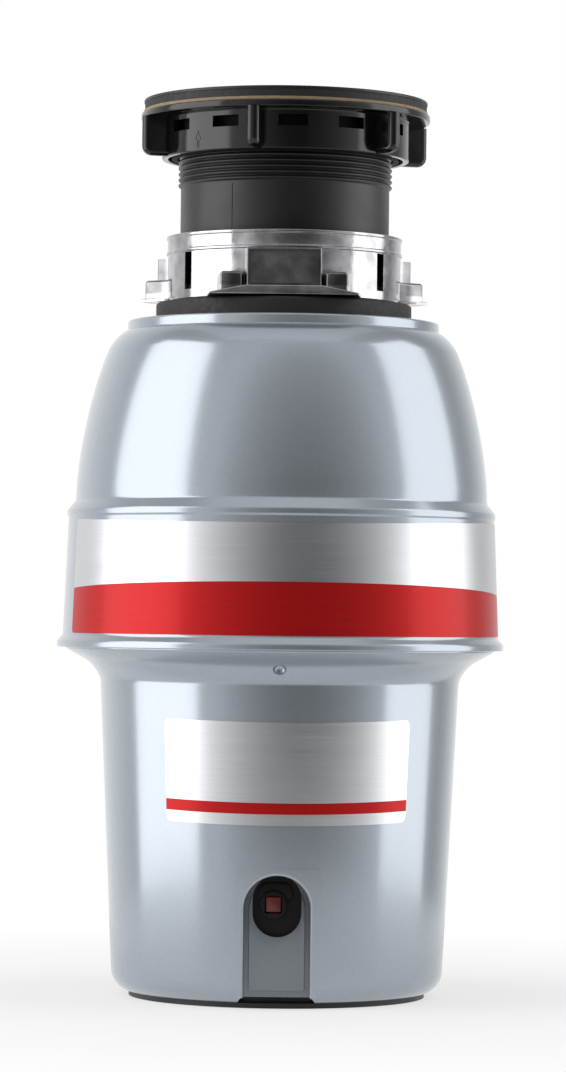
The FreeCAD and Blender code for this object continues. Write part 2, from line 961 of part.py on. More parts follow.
def impeller(label, turn):
    """Swinging lug: a plate on its pin with an upright nose at the outer end."""
    piece = Piece(label, turn=turn)
    pivot = S.pivot_circle
    tip = pivot + S.impeller_reach
    eye = S.impeller_eye
    nose = S.impeller_nose
    piece.pad(
        Piece.TOP,
        [[
            (pivot, -eye),
            (tip - nose, -nose),
            bulge_right(nose),
            (tip, 0),
            bulge_right(nose),
            (tip - nose, nose),
            (pivot, eye),
            bulge_right(eye),
            (pivot - eye, 0),
            bulge_right(eye),
        ]],
        S.impeller_low,
        S.impeller_plate_high,
    )
    piece.pad(
        Piece.TOP,
        [[
            (tip - nose * 2, -nose),
            (tip - nose, -nose),
            bulge_right(nose),
            (tip, 0),
            bulge_right(nose),
            (tip - nose, nose),
            (tip - nose * 2, nose),
        ]],
        S.impeller_plate_high,
        S.impeller_high,
    )
    piece.pocket(
        Piece.TOP,
        [Circle(pivot, 0, S.pin_radius + S.running_fit)],
        S.impeller_low,
        S.impeller_plate_high,
    )


def impeller_pins():
    """Two headed pins riveted in the turntable."""
    piece = Piece("impeller_pins")
    x = S.pivot_circle
    head_low = S.impeller_plate_high + S.gap
    head_high = head_low + S.pin_head
    shank = piece.pad(Piece.TOP, [Circle(x, 0, S.pin_radius)], S.turntable_low, head_low)
    head = piece.pad(Piece.TOP, [Circle(x, 0, S.pin_head_radius)], head_low, head_high)
    piece.repeat(PAIR, shank, head)


def turntable_nut():
    """Hexagon nut on the shaft's end."""
    piece = Piece("turntable_nut")
    radius = S.hexagon_radius
    corners = [(cosine(angle) * radius, sine(angle) * radius) for angle in range(0, 360, 60)]
    low = S.turntable_high + S.washer_thickness
    high = low + S.hexagon_height
    piece.pad(Piece.TOP, [corners], low, high)
    piece.pocket(Piece.TOP, [Circle(0, 0, S.shaft_radius)], low, high)


# ------------------------------------------------------------------ motor


def shaft():
    """Motor shaft, which also drives the turntable."""
    piece = Piece("shaft")
    piece.turned(band(0, S.shaft_radius, S.shaft_low, S.shaft_high))


def end_frame(label, plate_low, hub_low, hub_high):
    """Round plate with a bearing hub and four ears for the through bolts."""
    piece = Piece(label)
    plate_high = plate_low + S.frame_plate
    ear = piece.pad(
        Piece.TOP,
        [Circle(S.bolt_circle, 0, S.frame_ear_radius)],
        plate_low,
        plate_high,
        turn=45,
    )
    piece.repeat(THROUGH_BOLTS, ear)
    piece.pad(Piece.TOP, [Circle(0, 0, S.frame_radius)], plate_low, plate_high)
    hub = Circle(0, 0, S.bearing_radius + S.bearing_wall)
    piece.pad(Piece.TOP, [hub], hub_low, hub_high)
    piece.pocket(Piece.TOP, [Circle(0, 0, S.bearing_radius)], hub_low, hub_high)
    hole = piece.pocket(
        Piece.TOP, [Circle(S.bolt_circle, 0, S.bolt_radius)], plate_low, plate_high, turn=45
    )
    piece.repeat(THROUGH_BOLTS, hole)
    return piece


def upper_end_frame():
    """Carries the drain chamber on a rim above its plate."""
    low = S.can_high
    piece = end_frame("upper_end_frame", low, low, S.collar_high)
    rim = S.can_radius
    piece.turned(band(rim - S.frame_plate, rim, low + S.frame_plate, S.collar_high))


def lower_end_frame():
    """Carries the brush gear, with three posts down to the base cover."""
    low = S.can_low - S.frame_plate
    piece = end_frame("lower_end_frame", low, S.lower_hub_low, S.can_low)
    post = piece.pad(
        Piece.TOP, [Circle(S.post_circle, 0, S.post_radius)], S.base_top, S.can_low, turn=-30
    )
    hole = piece.pocket(
        Piece.TOP,
        [Circle(S.post_circle, 0, S.bolt_radius)],
        S.base_top,
        S.base_top + S.port_screw_depth,
        turn=-30,
    )
    piece.repeat(BASE_SCREWS, post, hole)


def armature_core():
    """Stack of laminations with slots for the wires."""
    piece = ring("armature_core", S.shaft_radius, S.core_radius, S.core_low, S.core_high)
    half = S.core_slot_half
    slot = piece.pocket(
        Piece.TOP,
        [box(S.core_slot_root, S.core_radius + S.overlap, -half, half)],
        S.core_low,
        S.core_high,
    )
    piece.repeat(ARMATURE_SLOTS, slot)


def windings():
    """Copper end turns above and below the core."""
    piece = Piece("windings")
    inner = S.winding_bore
    outer = S.winding_radius
    shoulder = outer - S.winding_round
    for low in (S.core_low - S.winding_height, S.core_high):
        high = low + S.winding_height
        middle = low + S.winding_height / 2
        piece.turned([
            (inner, low),
            (shoulder, low),
            (outer, middle),
            (shoulder, high),
            (inner, high),
        ])


def commutator():
    """Copper drum cut into bars."""
    piece = ring(
        "commutator", S.shaft_radius, S.commutator_radius, S.commutator_low, S.commutator_high
    )
    inner = S.commutator_radius - S.slit_depth
    outer = S.commutator_radius + S.overlap
    slit = piece.pocket(
        Piece.TOP,
        [box(inner, outer, -S.slit_half, S.slit_half)],
        S.commutator_low,
        S.commutator_high,
    )
    piece.repeat(ARMATURE_SLOTS * 2, slit)


def magnets():
    """Two ferrite arcs in the motor can."""
    piece = Piece("magnets")
    arc = piece.turned(
        band(S.magnet_bore, S.can_bore, S.magnet_low, S.magnet_high), angle=S.magnet_angle
    )
    piece.repeat(PAIR, arc)


def brushes():
    """Two carbon blocks that press on the commutator."""
    piece = Piece("brushes")
    half = S.brush_half
    low = S.commutator_radius + S.gap
    block = piece.pad(
        Piece.SIDE, [box(-half, half, S.brush_z - half, S.brush_z + half)], low, low + S.brush_length
    )
    piece.repeat(PAIR, block)


def brush_holders():
    """Two square brass tubes that stand on the lower end frame."""
    piece = Piece("brush_holders")
    half = S.brush_half
    outer = half + S.holder_wall
    low = S.holder_start
    tube = piece.pad(
        Piece.SIDE, [box(-outer, outer, S.can_low, S.brush_z + outer)], low, S.holder_end
    )
    slot = piece.pocket(
        Piece.SIDE,
        [box(-half, half, S.brush_z - half, S.brush_z + half)],
        low,
        S.holder_end - S.holder_wall,
    )
    piece.repeat(PAIR, tube, slot)


def brush_springs():
    """Springs behind the brushes, each a sleeve with one wave for every coil."""
    piece = Piece("brush_springs")
    start = S.commutator_radius + S.gap + S.brush_length
    pitch = (S.holder_end - S.holder_wall - start) / SPRING_COILS
    crest = S.brush_half - S.gap
    root = crest - S.spring_wire * 2
    outer = [(start, root)]
    inner = [(start, root - S.spring_wire)]
    for index in range(SPRING_COILS):
        middle = start + pitch * (index + 0.5)
        end = start + pitch * (index + 1)
        outer += [(middle, crest), (end, root)]
        inner += [(middle, crest - S.spring_wire), (end, root - S.spring_wire)]
    sleeve = piece.turned_about_x(outer + inner[::-1], S.brush_z)
    piece.repeat(PAIR, sleeve)


def rectifier():
    """Bridge rectifier under the lower end frame."""
    piece = Piece("rectifier")
    high = S.can_low - S.frame_plate
    piece.pad(
        Piece.TOP,
        [box(S.rectifier_near, S.rectifier_far, -S.rectifier_half, S.rectifier_half)],
        high - S.rectifier_height,
        high,
    )


# ------------------------------------------------------------------ mounting


def cushion_mount():
    """Rubber ring on the neck, grooved for the mounting ring."""
    piece = Piece("cushion_mount")
    piece.turned([
        (S.neck_radius, S.shelf_high),
        (S.cushion_radius, S.shelf_high),
        (S.cushion_radius, S.cushion_high),
        (S.cushion_groove_radius, S.cushion_high),
        (S.cushion_groove_radius, S.cushion_lip_low),
        (S.cushion_lip_radius, S.cushion_lip_low),
        (S.cushion_lip_radius - S.cushion_lip_taper, S.cushion_lip_high),
        (S.neck_bore, S.cushion_lip_high),
        (S.neck_bore, S.neck_high),
        (S.neck_radius, S.neck_high),
    ])


def mounting_ring():
    """Swivel ring: a collar with bayonet notches over a wall with three windowed lugs."""
    piece = Piece("mounting_ring")
    piece.turned([
        (0, S.ring_low),
        (S.ring_radius, S.ring_low),
        (S.ring_radius, S.band_low),
        (S.band_radius, S.band_low),
        (S.band_radius, S.band_high),
        (0, S.band_high),
    ])
    root = S.neck_bore
    lug = piece.pad(
        Piece.FRONT,
        [box(-S.lug_half_width, S.lug_half_width, S.ring_low, S.band_low)],
        root,
        S.lug_face,
    )
    ledge = piece.pad(
        Piece.FRONT,
        [[
            (-S.ledge_half_width, S.ring_low),
            (S.ledge_half_width, S.ring_low),
            (S.lug_half_width, S.ring_ledge_high),
            (-S.lug_half_width, S.ring_ledge_high),
        ]],
        root,
        S.ledge_face,
    )
    lumps = [
        box(S.lump_near, S.lump_far, S.ring_low, S.lump_high),
        box(-S.lump_far, -S.lump_near, S.ring_low, S.lump_high),
    ]
    studs = piece.pad(Piece.FRONT, lumps, root, S.lump_face)
    half = S.lug_half_width - S.wall
    window = piece.pocket(
        Piece.FRONT,
        [box(-half, half, S.ring_ledge_high + S.overlap, S.band_low - S.wall)],
        S.ring_radius + S.gap * 2,
        S.ledge_face,
    )
    piece.repeat(LUGS, lug, ledge, studs, window)
    for angle in (-number(S.slot_angle), number(S.slot_angle), 180):
        piece.pocket(
            Piece.TOP,
            [box(S.neck_bore, S.ledge_face, -S.slot_half_width, S.slot_half_width)],
            S.ring_ledge_high,
            S.band_low,
            turn=angle - 90,
        )
    piece.turned(
        [
            (0, S.ring_low - S.overlap),
            (S.ring_flange_bore, S.ring_low - S.overlap),
            (S.ring_flange_bore, S.cushion_lip_low - S.gap),
            (S.ring_bore, S.cushion_lip_low - S.gap),
            (S.ring_bore, S.band_low),
            (S.band_bore, S.band_low),
            (S.band_bore, S.band_high + S.overlap),
            (0, S.band_high + S.overlap),
        ],
        cut=True,
    )
    notch = piece.pocket(
        Piece.TOP,
        [wedge(S.tube_radius, S.notch_radius, S.notch_angle)],
        S.band_low,
        S.band_high,
        turn=-30,
    )
    piece.repeat(LUGS, notch)


def sink_flange():
    """Sleeve with its rim, threaded length, ledge for the splash guard and bayonet tabs."""
    piece = Piece("sink_flange")
    path = [(S.tube_bore, S.tube_low), (S.tube_radius, S.tube_low)]
    for index in range(THREAD_TURNS):
        low = S.thread_low + S.thread_pitch * index
        path += [
            (S.tube_radius, low),
            (S.thread_radius, low + S.thread_pitch * 0.3),
            (S.thread_radius, low + S.thread_pitch * 0.6),
            (S.tube_radius, low + S.thread_pitch * 0.9),
        ]
    seat = S.rim_high - S.trim_thickness
    path += [
        (S.tube_radius, S.rim_low),
        (S.rim_radius, S.rim_low),
        (S.rim_radius, S.rim_high),
        (S.trim_radius, S.rim_high),
        (S.trim_radius, seat),
        (S.guard_bore, seat),
        (S.guard_bore, S.guard_ledge),
        (S.tube_bore, S.guard_ledge),
    ]
    piece.turned(path)
    tab = piece.turned(
        band(S.tube_radius - S.overlap, S.tab_radius, S.tab_low, S.tab_high),
        angle=S.tab_angle,
        turn=-90,
    )
    piece.repeat(LUGS, tab)


def flange_trim():
    """Thin bright dish pressed into the flange's mouth."""
    piece = Piece("flange_trim")
    inner = S.guard_bore - S.trim_thickness
    piece.turned([
        (inner, S.trim_low),
        (S.guard_bore, S.trim_low),
        (S.guard_bore, S.rim_high - S.trim_thickness),
        (S.trim_radius, S.rim_high - S.trim_thickness),
        (S.trim_radius, S.rim_high),
        (inner, S.rim_high),
    ])


def splash_guard():
    """Rubber baffle: an outer ring and a web slit into flaps round a hole."""
    piece = Piece("splash_guard")
    low = S.guard_ledge + S.gap
    web_high = S.guard_web_low + S.guard_web
    piece.turned([
        (S.guard_radius - S.wall, low),
        (S.guard_radius, low),
        (S.guard_radius, S.guard_high),
        (S.guard_radius - S.wall, S.guard_high),
        (S.guard_radius - S.wall, web_high),
        (S.guard_hole, web_high),
        (S.guard_hole, S.guard_web_low),
        (S.guard_radius - S.wall, S.guard_web_low),
    ])
    inner = S.guard_hole - S.overlap
    slit = piece.pocket(
        Piece.TOP,
        [box(inner, S.guard_slit_end, -S.guard_slit_half, S.guard_slit_half)],
        S.guard_web_low,
        web_high,
    )
    piece.repeat(GUARD_FLAPS, slit)


def mounting_nut():
    """Flanged nut with a hollow skirt, six ears and pairs of slots between them."""
    piece = Piece("mounting_nut", turn=S.nut_turn)
    piece.turned([
        (S.nut_bore, S.nut_low),
        (S.nut_hollow_inner, S.nut_low),
        (S.nut_hollow_inner, S.nut_flange_low - S.wall),
        (S.nut_radius - S.wall, S.nut_flange_low - S.wall),
        (S.nut_radius - S.wall, S.nut_low),
        (S.nut_radius, S.nut_low),
        (S.nut_radius, S.nut_flange_low),
        (S.nut_flange_radius, S.nut_flange_low),
        (S.nut_flange_radius, S.nut_high),
        (S.nut_bore, S.nut_high),
    ])
    root = S.overlap - S.nut_radius
    tip = -S.ear_radius
    ear = piece.pad(
        Piece.SIDE,
        [[
            (root, S.nut_low),
            (root, S.nut_flange_low),
            (tip, S.nut_flange_low),
            (tip, S.nut_low + S.ear_round),
            bulge_right(S.ear_round),
            (tip + S.ear_round, S.nut_low),
        ]],
        -S.ear_width / 2,
        S.ear_width / 2,
    )
    piece.repeat(EARS, ear)
    for side in (-1, 1):
        slot = piece.pocket(
            Piece.TOP,
            [box(
                S.nut_radius - S.wall,
                S.nut_radius + S.overlap,
                -S.nut_slot_half,
                S.nut_slot_half,
            )],
            S.nut_slot_low,
            S.nut_slot_high,
            turn=number(S.nut_slot_angle) * side - 90,
        )
        piece.repeat(EARS, slot)


# ------------------------------------------------------------------ assembly


def build_casing():
    lower_shell()
    upper_shell()
    base_cover()
    cord_inlet_bush()
    overload_protector()
    reset_button()
    foil("belt_label", belt_radius, S.belt_label_low, S.belt_label_high, S.belt_label_angle,
         S.belt_label_middle)
    foil("front_label", cup_radius, S.front_label_low, S.front_label_high, S.front_label_angle,
         S.front_label_middle)
    screws("base_screws", BASE_SCREWS, S.post_circle, S.bolt_radius, S.bolt_radius * 2,
           S.base_floor, S.base_top + S.port_screw_depth, S.base_floor - S.base_screw_head,
           S.base_floor, turn=-30)
    ground_high = S.base_top + S.screw_head
    screws("ground_screw", 1, S.ground_screw_x, S.bolt_radius, S.bolt_radius * 2,
           S.base_top, ground_high, ground_high, ground_high + S.screw_head)


def build_wet_end():
    hopper()
    drain_chamber()
    chamber_seal()
    screws("hopper_screws", CLAMP_SCREWS, S.clamp_circle, S.clamp_hole, S.clamp_head,
           S.drain_flange_low - S.screw_head, S.flange_high, S.flange_high,
           S.flange_high + S.screw_head)
    grind_ring()
    turntable()
    impeller("impeller_right", 0)
    impeller("impeller_left", 180)
    impeller_pins()
    turntable_nut()
    ring("turntable_washer", S.shaft_radius, S.washer_radius, S.turntable_high,
         S.turntable_high + S.washer_thickness)
    ring("shaft_seal", S.shaft_radius + S.gap, S.seal_radius, S.collar_high, S.seal_high)
    ring("water_slinger", S.shaft_radius, S.slinger_radius, S.slinger_low, S.slinger_high)


def build_motor():
    shaft()
    upper_end_frame()
    lower_end_frame()
    fit = S.shaft_radius + S.running_fit
    ring("upper_bearing", fit, S.bearing_radius, S.can_high, S.collar_high)
    ring("lower_bearing", fit, S.bearing_radius, S.lower_hub_low, S.can_low)
    thrust_low = S.can_low + S.gap
    ring("thrust_washer", S.shaft_radius, S.bearing_radius, thrust_low, thrust_low + S.thrust_washer)
    ring("motor_can", S.can_bore, S.can_radius, S.can_low, S.can_high)
    magnets()
    armature_core()
    windings()
    commutator()
    brushes()
    brush_holders()
    brush_springs()
    screws("through_bolts", THROUGH_BOLTS, S.bolt_circle, S.bolt_radius, S.bolt_radius * 2,
           S.can_low - S.frame_plate, S.can_high + S.frame_plate,
           S.can_high + S.frame_plate, S.can_high + S.frame_plate + S.screw_head, turn=45)
    rectifier()


def build_mounting():
    cushion_mount()
    mounting_ring()
    sink_flange()
    flange_trim()
    splash_guard()
    mounting_nut()
    ring("fiber_gasket", S.nut_bore, S.fiber_radius, S.nut_high, S.fiber_high)
    ring("sink_gasket", S.nut_bore, S.gasket_radius, S.fiber_high, S.rim_low)


build_casing()
build_wet_end()
build_motor()
build_mounting()
doc.recompute()

problems = [item.Name for item in doc.Objects if {"Invalid", "Error"} & set(item.State)]
bodies = [item for item in doc.Objects if item.TypeId == "PartDesign::Body"]
problems += [item.Label for item in bodies if item.Shape.isNull() or not item.Shape.isValid()]
if problems:
    raise RuntimeError(f"failed objects: {problems}")
os.makedirs("parts", exist_ok=True)
for item in bodies:
    item.Shape.exportStep(f"parts/{item.Label}.step")
print(f"{len(bodies)} sub-parts written")
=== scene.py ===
"""Kitchen garbage disposal: finishes, foil labels and finely modelled casing and mounting.

Every length in the outlines below is in millimetres in the frame of the parts: +Z up, the front
with the labels towards -Y. Angles round the shaft are in degrees from the front, positive to +X.
An outline is a list of corners, each with the length of its sides that its rounding takes.
"""

import math

import bmesh
import bpy
from mathutils import Matrix, Vector


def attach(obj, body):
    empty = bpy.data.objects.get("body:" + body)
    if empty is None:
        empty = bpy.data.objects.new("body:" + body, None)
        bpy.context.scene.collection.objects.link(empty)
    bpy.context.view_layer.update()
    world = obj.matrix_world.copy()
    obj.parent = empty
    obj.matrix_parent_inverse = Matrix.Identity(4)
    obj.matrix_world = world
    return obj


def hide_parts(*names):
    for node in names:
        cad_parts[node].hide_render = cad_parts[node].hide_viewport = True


bl_info = {
    "name": "Kitchen Garbage Disposal",
    "version": (1, 0, 0),
    "blender": (4, 5, 0),
    "location": "View3D > Sidebar > Disposal",
    "description": "Dresses the parts of a kitchen garbage disposal with modelled shells, rings and finishes",
    "category": "Object",
}

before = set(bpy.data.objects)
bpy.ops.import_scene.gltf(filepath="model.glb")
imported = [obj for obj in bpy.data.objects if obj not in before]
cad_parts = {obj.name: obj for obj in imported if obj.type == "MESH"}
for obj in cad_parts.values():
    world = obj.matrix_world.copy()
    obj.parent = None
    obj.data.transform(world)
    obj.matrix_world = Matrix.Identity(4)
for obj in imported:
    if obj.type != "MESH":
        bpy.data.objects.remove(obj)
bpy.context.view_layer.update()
MM = 0.001
TURN = 360.0
WELD = 1e-6  # metres within which corners are one
SLIVER = 2e-6  # metres below which a face left by a cut is dissolved


# ------------------------------------------------------------------ sizes and colours


class StageSettings(bpy.types.PropertyGroup):
    distance: bpy.props.FloatProperty(
        name="Distance", description="From the camera to the disposal's axis", default=1.69, unit="LENGTH"
    )
    height: bpy.props.FloatProperty(
        name="Height", description="Height of the camera above the floor", default=0.155, unit="LENGTH"
    )
    aim: bpy.props.FloatProperty(
        name="Aim", description="Height on the axis that the camera looks at", default=0.185, unit="LENGTH"
    )
    side: bpy.props.FloatProperty(
        name="Side", description="How far the camera stands to the right of the axis", default=0.0007,
        unit="LENGTH",
    )
    roll: bpy.props.FloatProperty(
        name="Roll", description="Turn of the camera about its line of sight", default=math.radians(0.64),
        subtype="ANGLE", unit="ROTATION",
    )
    lens: bpy.props.FloatProperty(
        name="Lens", description="Focal length of the camera in millimetres", default=140.5
    )
    floor_colour: bpy.props.FloatVectorProperty(
        name="Floor", description="Colour of the floor", default=(0.9, 0.9, 0.9), subtype="COLOR"
    )
    softbox: bpy.props.FloatProperty(
        name="Softboxes", description="Power of each tall lamp beside the object", default=11.5, unit="POWER"
    )


class CasingSettings(bpy.types.PropertyGroup):
    grey: bpy.props.FloatVectorProperty(
        name="Casing grey", description="Base colour of the two shells", default=(0.37, 0.41, 0.455),
        subtype="COLOR",
    )
    steps: bpy.props.IntProperty(
        name="Steps", description="Faces round each turned shell", default=120, min=24
    )
    rim_round: bpy.props.FloatProperty(
        name="Arch rim", description="Rounding of the arch's outer edge in millimetres", default=1.1
    )


class LabelSettings(bpy.types.PropertyGroup):
    silver: bpy.props.FloatVectorProperty(
        name="Foil", description="Colour of the brushed foil", default=(0.61, 0.62, 0.64), subtype="COLOR"
    )
    red: bpy.props.FloatVectorProperty(
        name="Band", description="Colour of the printed bands", default=(0.47, 0.007, 0.008), subtype="COLOR"
    )
    foil: bpy.props.FloatProperty(
        name="Thickness", description="Thickness of the foil", default=0.00025, unit="LENGTH", precision=5
    )


class MountingSettings(bpy.types.PropertyGroup):
    black: bpy.props.FloatVectorProperty(
        name="Moulded black", description="Colour of the sink flange and nut",
        default=(0.0045, 0.0045, 0.005), subtype="COLOR",
    )
    zinc: bpy.props.FloatVectorProperty(
        name="Zinc", description="Colour of the die-cast ring", default=(0.45, 0.45, 0.465), subtype="COLOR"
    )
    nut_turn: bpy.props.FloatProperty(
        name="Nut turn", description="Where the nut's front ear stands, from the front",
        default=math.radians(-12.6), subtype="ANGLE", unit="ROTATION",
    )


def settings(name):
    return getattr(bpy.context.scene, "disposal_" + name)


# ------------------------------------------------------------------ node materials


class Finish:
    """A node material on object coordinates, built up a node at a time."""

    def __init__(self, name, metallic=0.0, **constants):
        self.material = bpy.data.materials.new(name)
        self.material.use_nodes = True
        self.tree = self.material.node_tree
        self.shader = self.tree.nodes["Principled BSDF"]
        self.shader.inputs["Metallic"].default_value = metallic
        for socket, value in constants.items():
            self.shader.inputs[socket.replace("_", " ")].default_value = value
        self.place = self.add("ShaderNodeTexCoord").outputs["Object"]

    def add(self, kind, **options):
        node = self.tree.nodes.new(kind)
        for option, value in options.items():
            setattr(node, option, value)
        return node

    def feed(self, socket, source):
        """Links a source into a socket, or writes it there if it is a plain value."""
        if isinstance(source, bpy.types.NodeSocket):
            self.tree.links.new(source, socket)
        else:
            socket.default_value = source

    def stretched(self, x, y, z):
        """The place, scaled along each axis."""
        mapping = self.add("ShaderNodeMapping")
        self.feed(mapping.inputs["Vector"], self.place)
        mapping.inputs["Scale"].default_value = (x, y, z)
        return mapping.outputs["Vector"]

    def noise(self, scale, detail=3.0, where=None):
        node = self.add("ShaderNodeTexNoise")
        self.feed(node.inputs["Vector"], where or self.place)
        node.inputs["Scale"].default_value = scale
        node.inputs["Detail"].default_value = detail
        return node.outputs["Fac"]

    def ranged(self, value, low, high, from_low=0.3, from_high=0.7):
        """Maps a value to a range; most noise lies in the range that it is mapped from by default."""
        node = self.add("ShaderNodeMapRange")
        self.feed(node.inputs["Value"], value)
        node.inputs["From Min"].default_value = from_low
        node.inputs["From Max"].default_value = from_high
        node.inputs["To Min"].default_value = low
        node.inputs["To Max"].default_value = high
        return node.outputs["Result"]

    def math(self, operation, first, second=0.0):
        node = self.add("ShaderNodeMath", operation=operation)
        self.feed(node.inputs[0], first)
        self.feed(node.inputs[1], second)
        return node.outputs[0]

    def bands(self, scale, distortion=0.0):
        """Level stripes."""
        node = self.add("ShaderNodeTexWave", bands_direction="Z")
        self.feed(node.inputs["Vector"], self.place)
        node.inputs["Scale"].default_value = scale
        node.inputs["Distortion"].default_value = distortion
        return node.outputs["Fac"]

    def mixed(self, factor, first, second):
        node = self.add("ShaderNodeMix", data_type="RGBA")
        self.feed(node.inputs[0], factor)
        self.feed(node.inputs[6], first)
        self.feed(node.inputs[7], second)
        return node.outputs[2]

    def tinted(self, pattern, colour, low, high):
        """A colour that goes from one shade to another with a noise pattern."""
        return self.mixed(self.ranged(pattern, 0.0, 1.0), shade(colour, low), shade(colour, high))

    def coordinates(self):
        node = self.add("ShaderNodeSeparateXYZ")
        self.feed(node.inputs[0], self.place)
        return node.outputs

    def from_shaft(self):
        """Distance from the shaft."""
        node = self.add("ShaderNodeVectorMath", operation="LENGTH")
        self.feed(node.inputs[0], self.stretched(1.0, 1.0, 0.0))
        return node.outputs["Value"]

    def colour(self, source):
        self.feed(self.shader.inputs["Base Color"], source)

    def roughness(self, source):
        self.feed(self.shader.inputs["Roughness"], source)

    def bump(self, height, strength, distance):
        node = self.add("ShaderNodeBump")
        node.inputs["Strength"].default_value = strength
        node.inputs["Distance"].default_value = distance
        self.feed(node.inputs["Height"], height)
        self.tree.links.new(node.outputs["Normal"], self.shader.inputs["Normal"])


def shade(colour, factor):
    """An opaque colour made darker or lighter."""
    return (*(channel * factor for channel in colour), 1.0)


def painted_casing(name="casing_grey", factor=1.0):
    """Silver-grey moulded plastic with fine flakes under a thin gloss."""
    finish = Finish(name, metallic=0.6, Coat_Weight=0.3, Coat_Roughness=0.06)
    # the factor darkens the whole grey; the arch panel's copy at 0.5 is painted shade of its recess
    grey = tuple(channel * factor for channel in settings("casing").grey)
    flakes = finish.noise(1500.0, 2.0)
    clouds = finish.noise(18.0, 2.0)
    grain = finish.tinted(flakes, grey, 0.95, 1.05)
    finish.colour(finish.mixed(finish.ranged(clouds, 0.0, 0.25), grain, shade(grey, 0.93)))
    finish.roughness(finish.ranged(flakes, 0.17, 0.23))
    finish.bump(flakes, 0.02, 0.0002)
    return finish.material


def moulded_black(name, low, high, grain=1400.0, bump=0.08, factor=1.0, specular=0.5):
    """Black plastic, from satin to gloss by its range of roughness."""
    finish = Finish(name, Specular_IOR_Level=specular)
    black = settings("mounting").black
    speckle = finish.noise(grain, 3.0)
    clouds = finish.noise(60.0, 2.0)
    finish.colour(finish.tinted(speckle, black, 0.8 * factor, 1.5 * factor))
    finish.roughness(finish.ranged(clouds, low, high))
    finish.bump(speckle, bump, 0.0003)
    return finish.material


def rubber(name):
    """Matt black with a bloom of dust."""
    finish = Finish(name)
    dust = finish.noise(700.0, 4.0)
    finish.colour(finish.tinted(dust, (0.006, 0.006, 0.0065), 0.8, 1.6))
    finish.roughness(finish.ranged(dust, 0.55, 0.72))
    finish.bump(dust, 0.15, 0.0003)
    return finish.material


def die_cast():
    """Polished casting with the mottle of its mould, with a painted dark reflection where it stands out from
    the wall.
    """
    finish = Finish("zinc_casting", metallic=1.0)
    zinc = settings("mounting").zinc
    mottle = finish.noise(160.0, 5.0)
    pits = finish.noise(900.0, 3.0)
    polished = finish.tinted(mottle, zinc, 0.7, 1.15)
    # painted dark reflection: a darker copy of the zinc on the lugs and blocks above the ledge, where they
    # stand out from the wall
    painted_dark_reflection = finish.tinted(mottle, zinc, 0.3, 0.6)
    above_ledge = finish.ranged(finish.coordinates()["Z"], 0.0, 1.0, 0.2822, 0.2830)
    outward = finish.ranged(finish.from_shaft(), 0.0, 1.0, 0.0480, 0.0500)
    finish.colour(finish.mixed(finish.math("MULTIPLY", outward, above_ledge), polished, painted_dark_reflection))
    finish.roughness(finish.ranged(mottle, 0.06, 0.22))
    finish.bump(finish.math("ADD", mottle, finish.math("MULTIPLY", pits, 0.15)), 0.10, 0.0006)
    return finish.material


def brushed(name, colour, low, high, across=2400.0, along=40.0, contrast=0.14, bump=0.04):
    """Metal brushed round the shaft: the streaks change with height and hardly along their length."""
    finish = Finish(name, metallic=1.0)
    streaks = finish.noise(1.0, 3.0, finish.stretched(along, along, across))
    clouds = finish.noise(30.0, 2.0)
    finish.colour(finish.tinted(streaks, colour, 1.0 - contrast, 1.0 + contrast))
    finish.roughness(finish.math("ADD", finish.ranged(streaks, low, high), finish.ranged(clouds, 0.0, 0.04)))
    finish.bump(streaks, bump, 0.0002)
    return finish.material


def fibre_board():
    """Tan board with its fibres pressed flat."""
    finish = Finish("pressed_fibre")
    fibres = finish.noise(1.0, 4.0, finish.stretched(300.0, 300.0, 3000.0))
    finish.colour(finish.tinted(fibres, (0.34, 0.25, 0.15), 0.7, 1.15))
    finish.roughness(finish.ranged(fibres, 0.75, 0.9))
    finish.bump(fibres, 0.2, 0.0003)
    return finish.material


def cast_metal(name, colour, low, high, metallic=1.0, grain=350.0):
    """Rough metal or ceramic with an uneven skin."""
    finish = Finish(name, metallic=metallic)
    skin = finish.noise(grain, 5.0)
    finish.colour(finish.tinted(skin, colour, 0.8, 1.12))
    finish.roughness(finish.ranged(skin, low, high))
    finish.bump(skin, 0.12, 0.0004)
    return finish.material


def wound_copper():
    """Enamelled wire laid in turns."""
    finish = Finish("wound_copper", metallic=0.8)
    turns = finish.bands(300.0, 1.5)
    copper = (0.62, 0.27, 0.13)
    finish.colour(finish.mixed(turns, shade(copper, 0.5), shade(copper, 1.1)))
    finish.roughness(finish.ranged(turns, 0.45, 0.25, 0.0, 1.0))
    finish.bump(turns, 0.4, 0.0004)
    return finish.material


def laminated_steel():
    """Stacked sheets seen at their edges."""
    finish = Finish("laminated_steel", metallic=1.0)
    sheets = finish.bands(320.0)
    steel = (0.26, 0.26, 0.27)
    finish.colour(finish.mixed(sheets, shade(steel, 0.6), shade(steel, 1.1)))
    finish.roughness(finish.ranged(sheets, 0.5, 0.35, 0.0, 1.0))
    finish.bump(sheets, 0.25, 0.0003)
    return finish.material


def printed_red():
    """Red print on foil, through which the brushing still shows."""
    finish = Finish(
        "printed_red", metallic=0.4, Coat_Weight=0.08, Coat_Roughness=0.12, Specular_IOR_Level=0.2,
    )
    red = settings("label").red
    streaks = finish.noise(1.0, 3.0, finish.stretched(25.0, 25.0, 6000.0))
    finish.colour(finish.tinted(streaks, red, 0.9, 1.1))
    finish.roughness(finish.ranged(streaks, 0.28, 0.40))
    finish.bump(streaks, 0.03, 0.0002)
    return finish.material


def red_plastic():
    """Dull red of the push button."""
    finish = Finish("button_red", Coat_Weight=0.3, Coat_Roughness=0.1)
    dust = finish.noise(500.0, 3.0)
    dark, light = (0.09, 0.006, 0.006, 1), (0.15, 0.009, 0.008, 1)
    finish.colour(finish.mixed(finish.ranged(dust, 0.0, 1.0), dark, light))
    finish.roughness(finish.ranged(dust, 0.3, 0.45))
    finish.bump(dust, 0.08, 0.0002)
    return finish.material


# ------------------------------------------------------------------ modelling


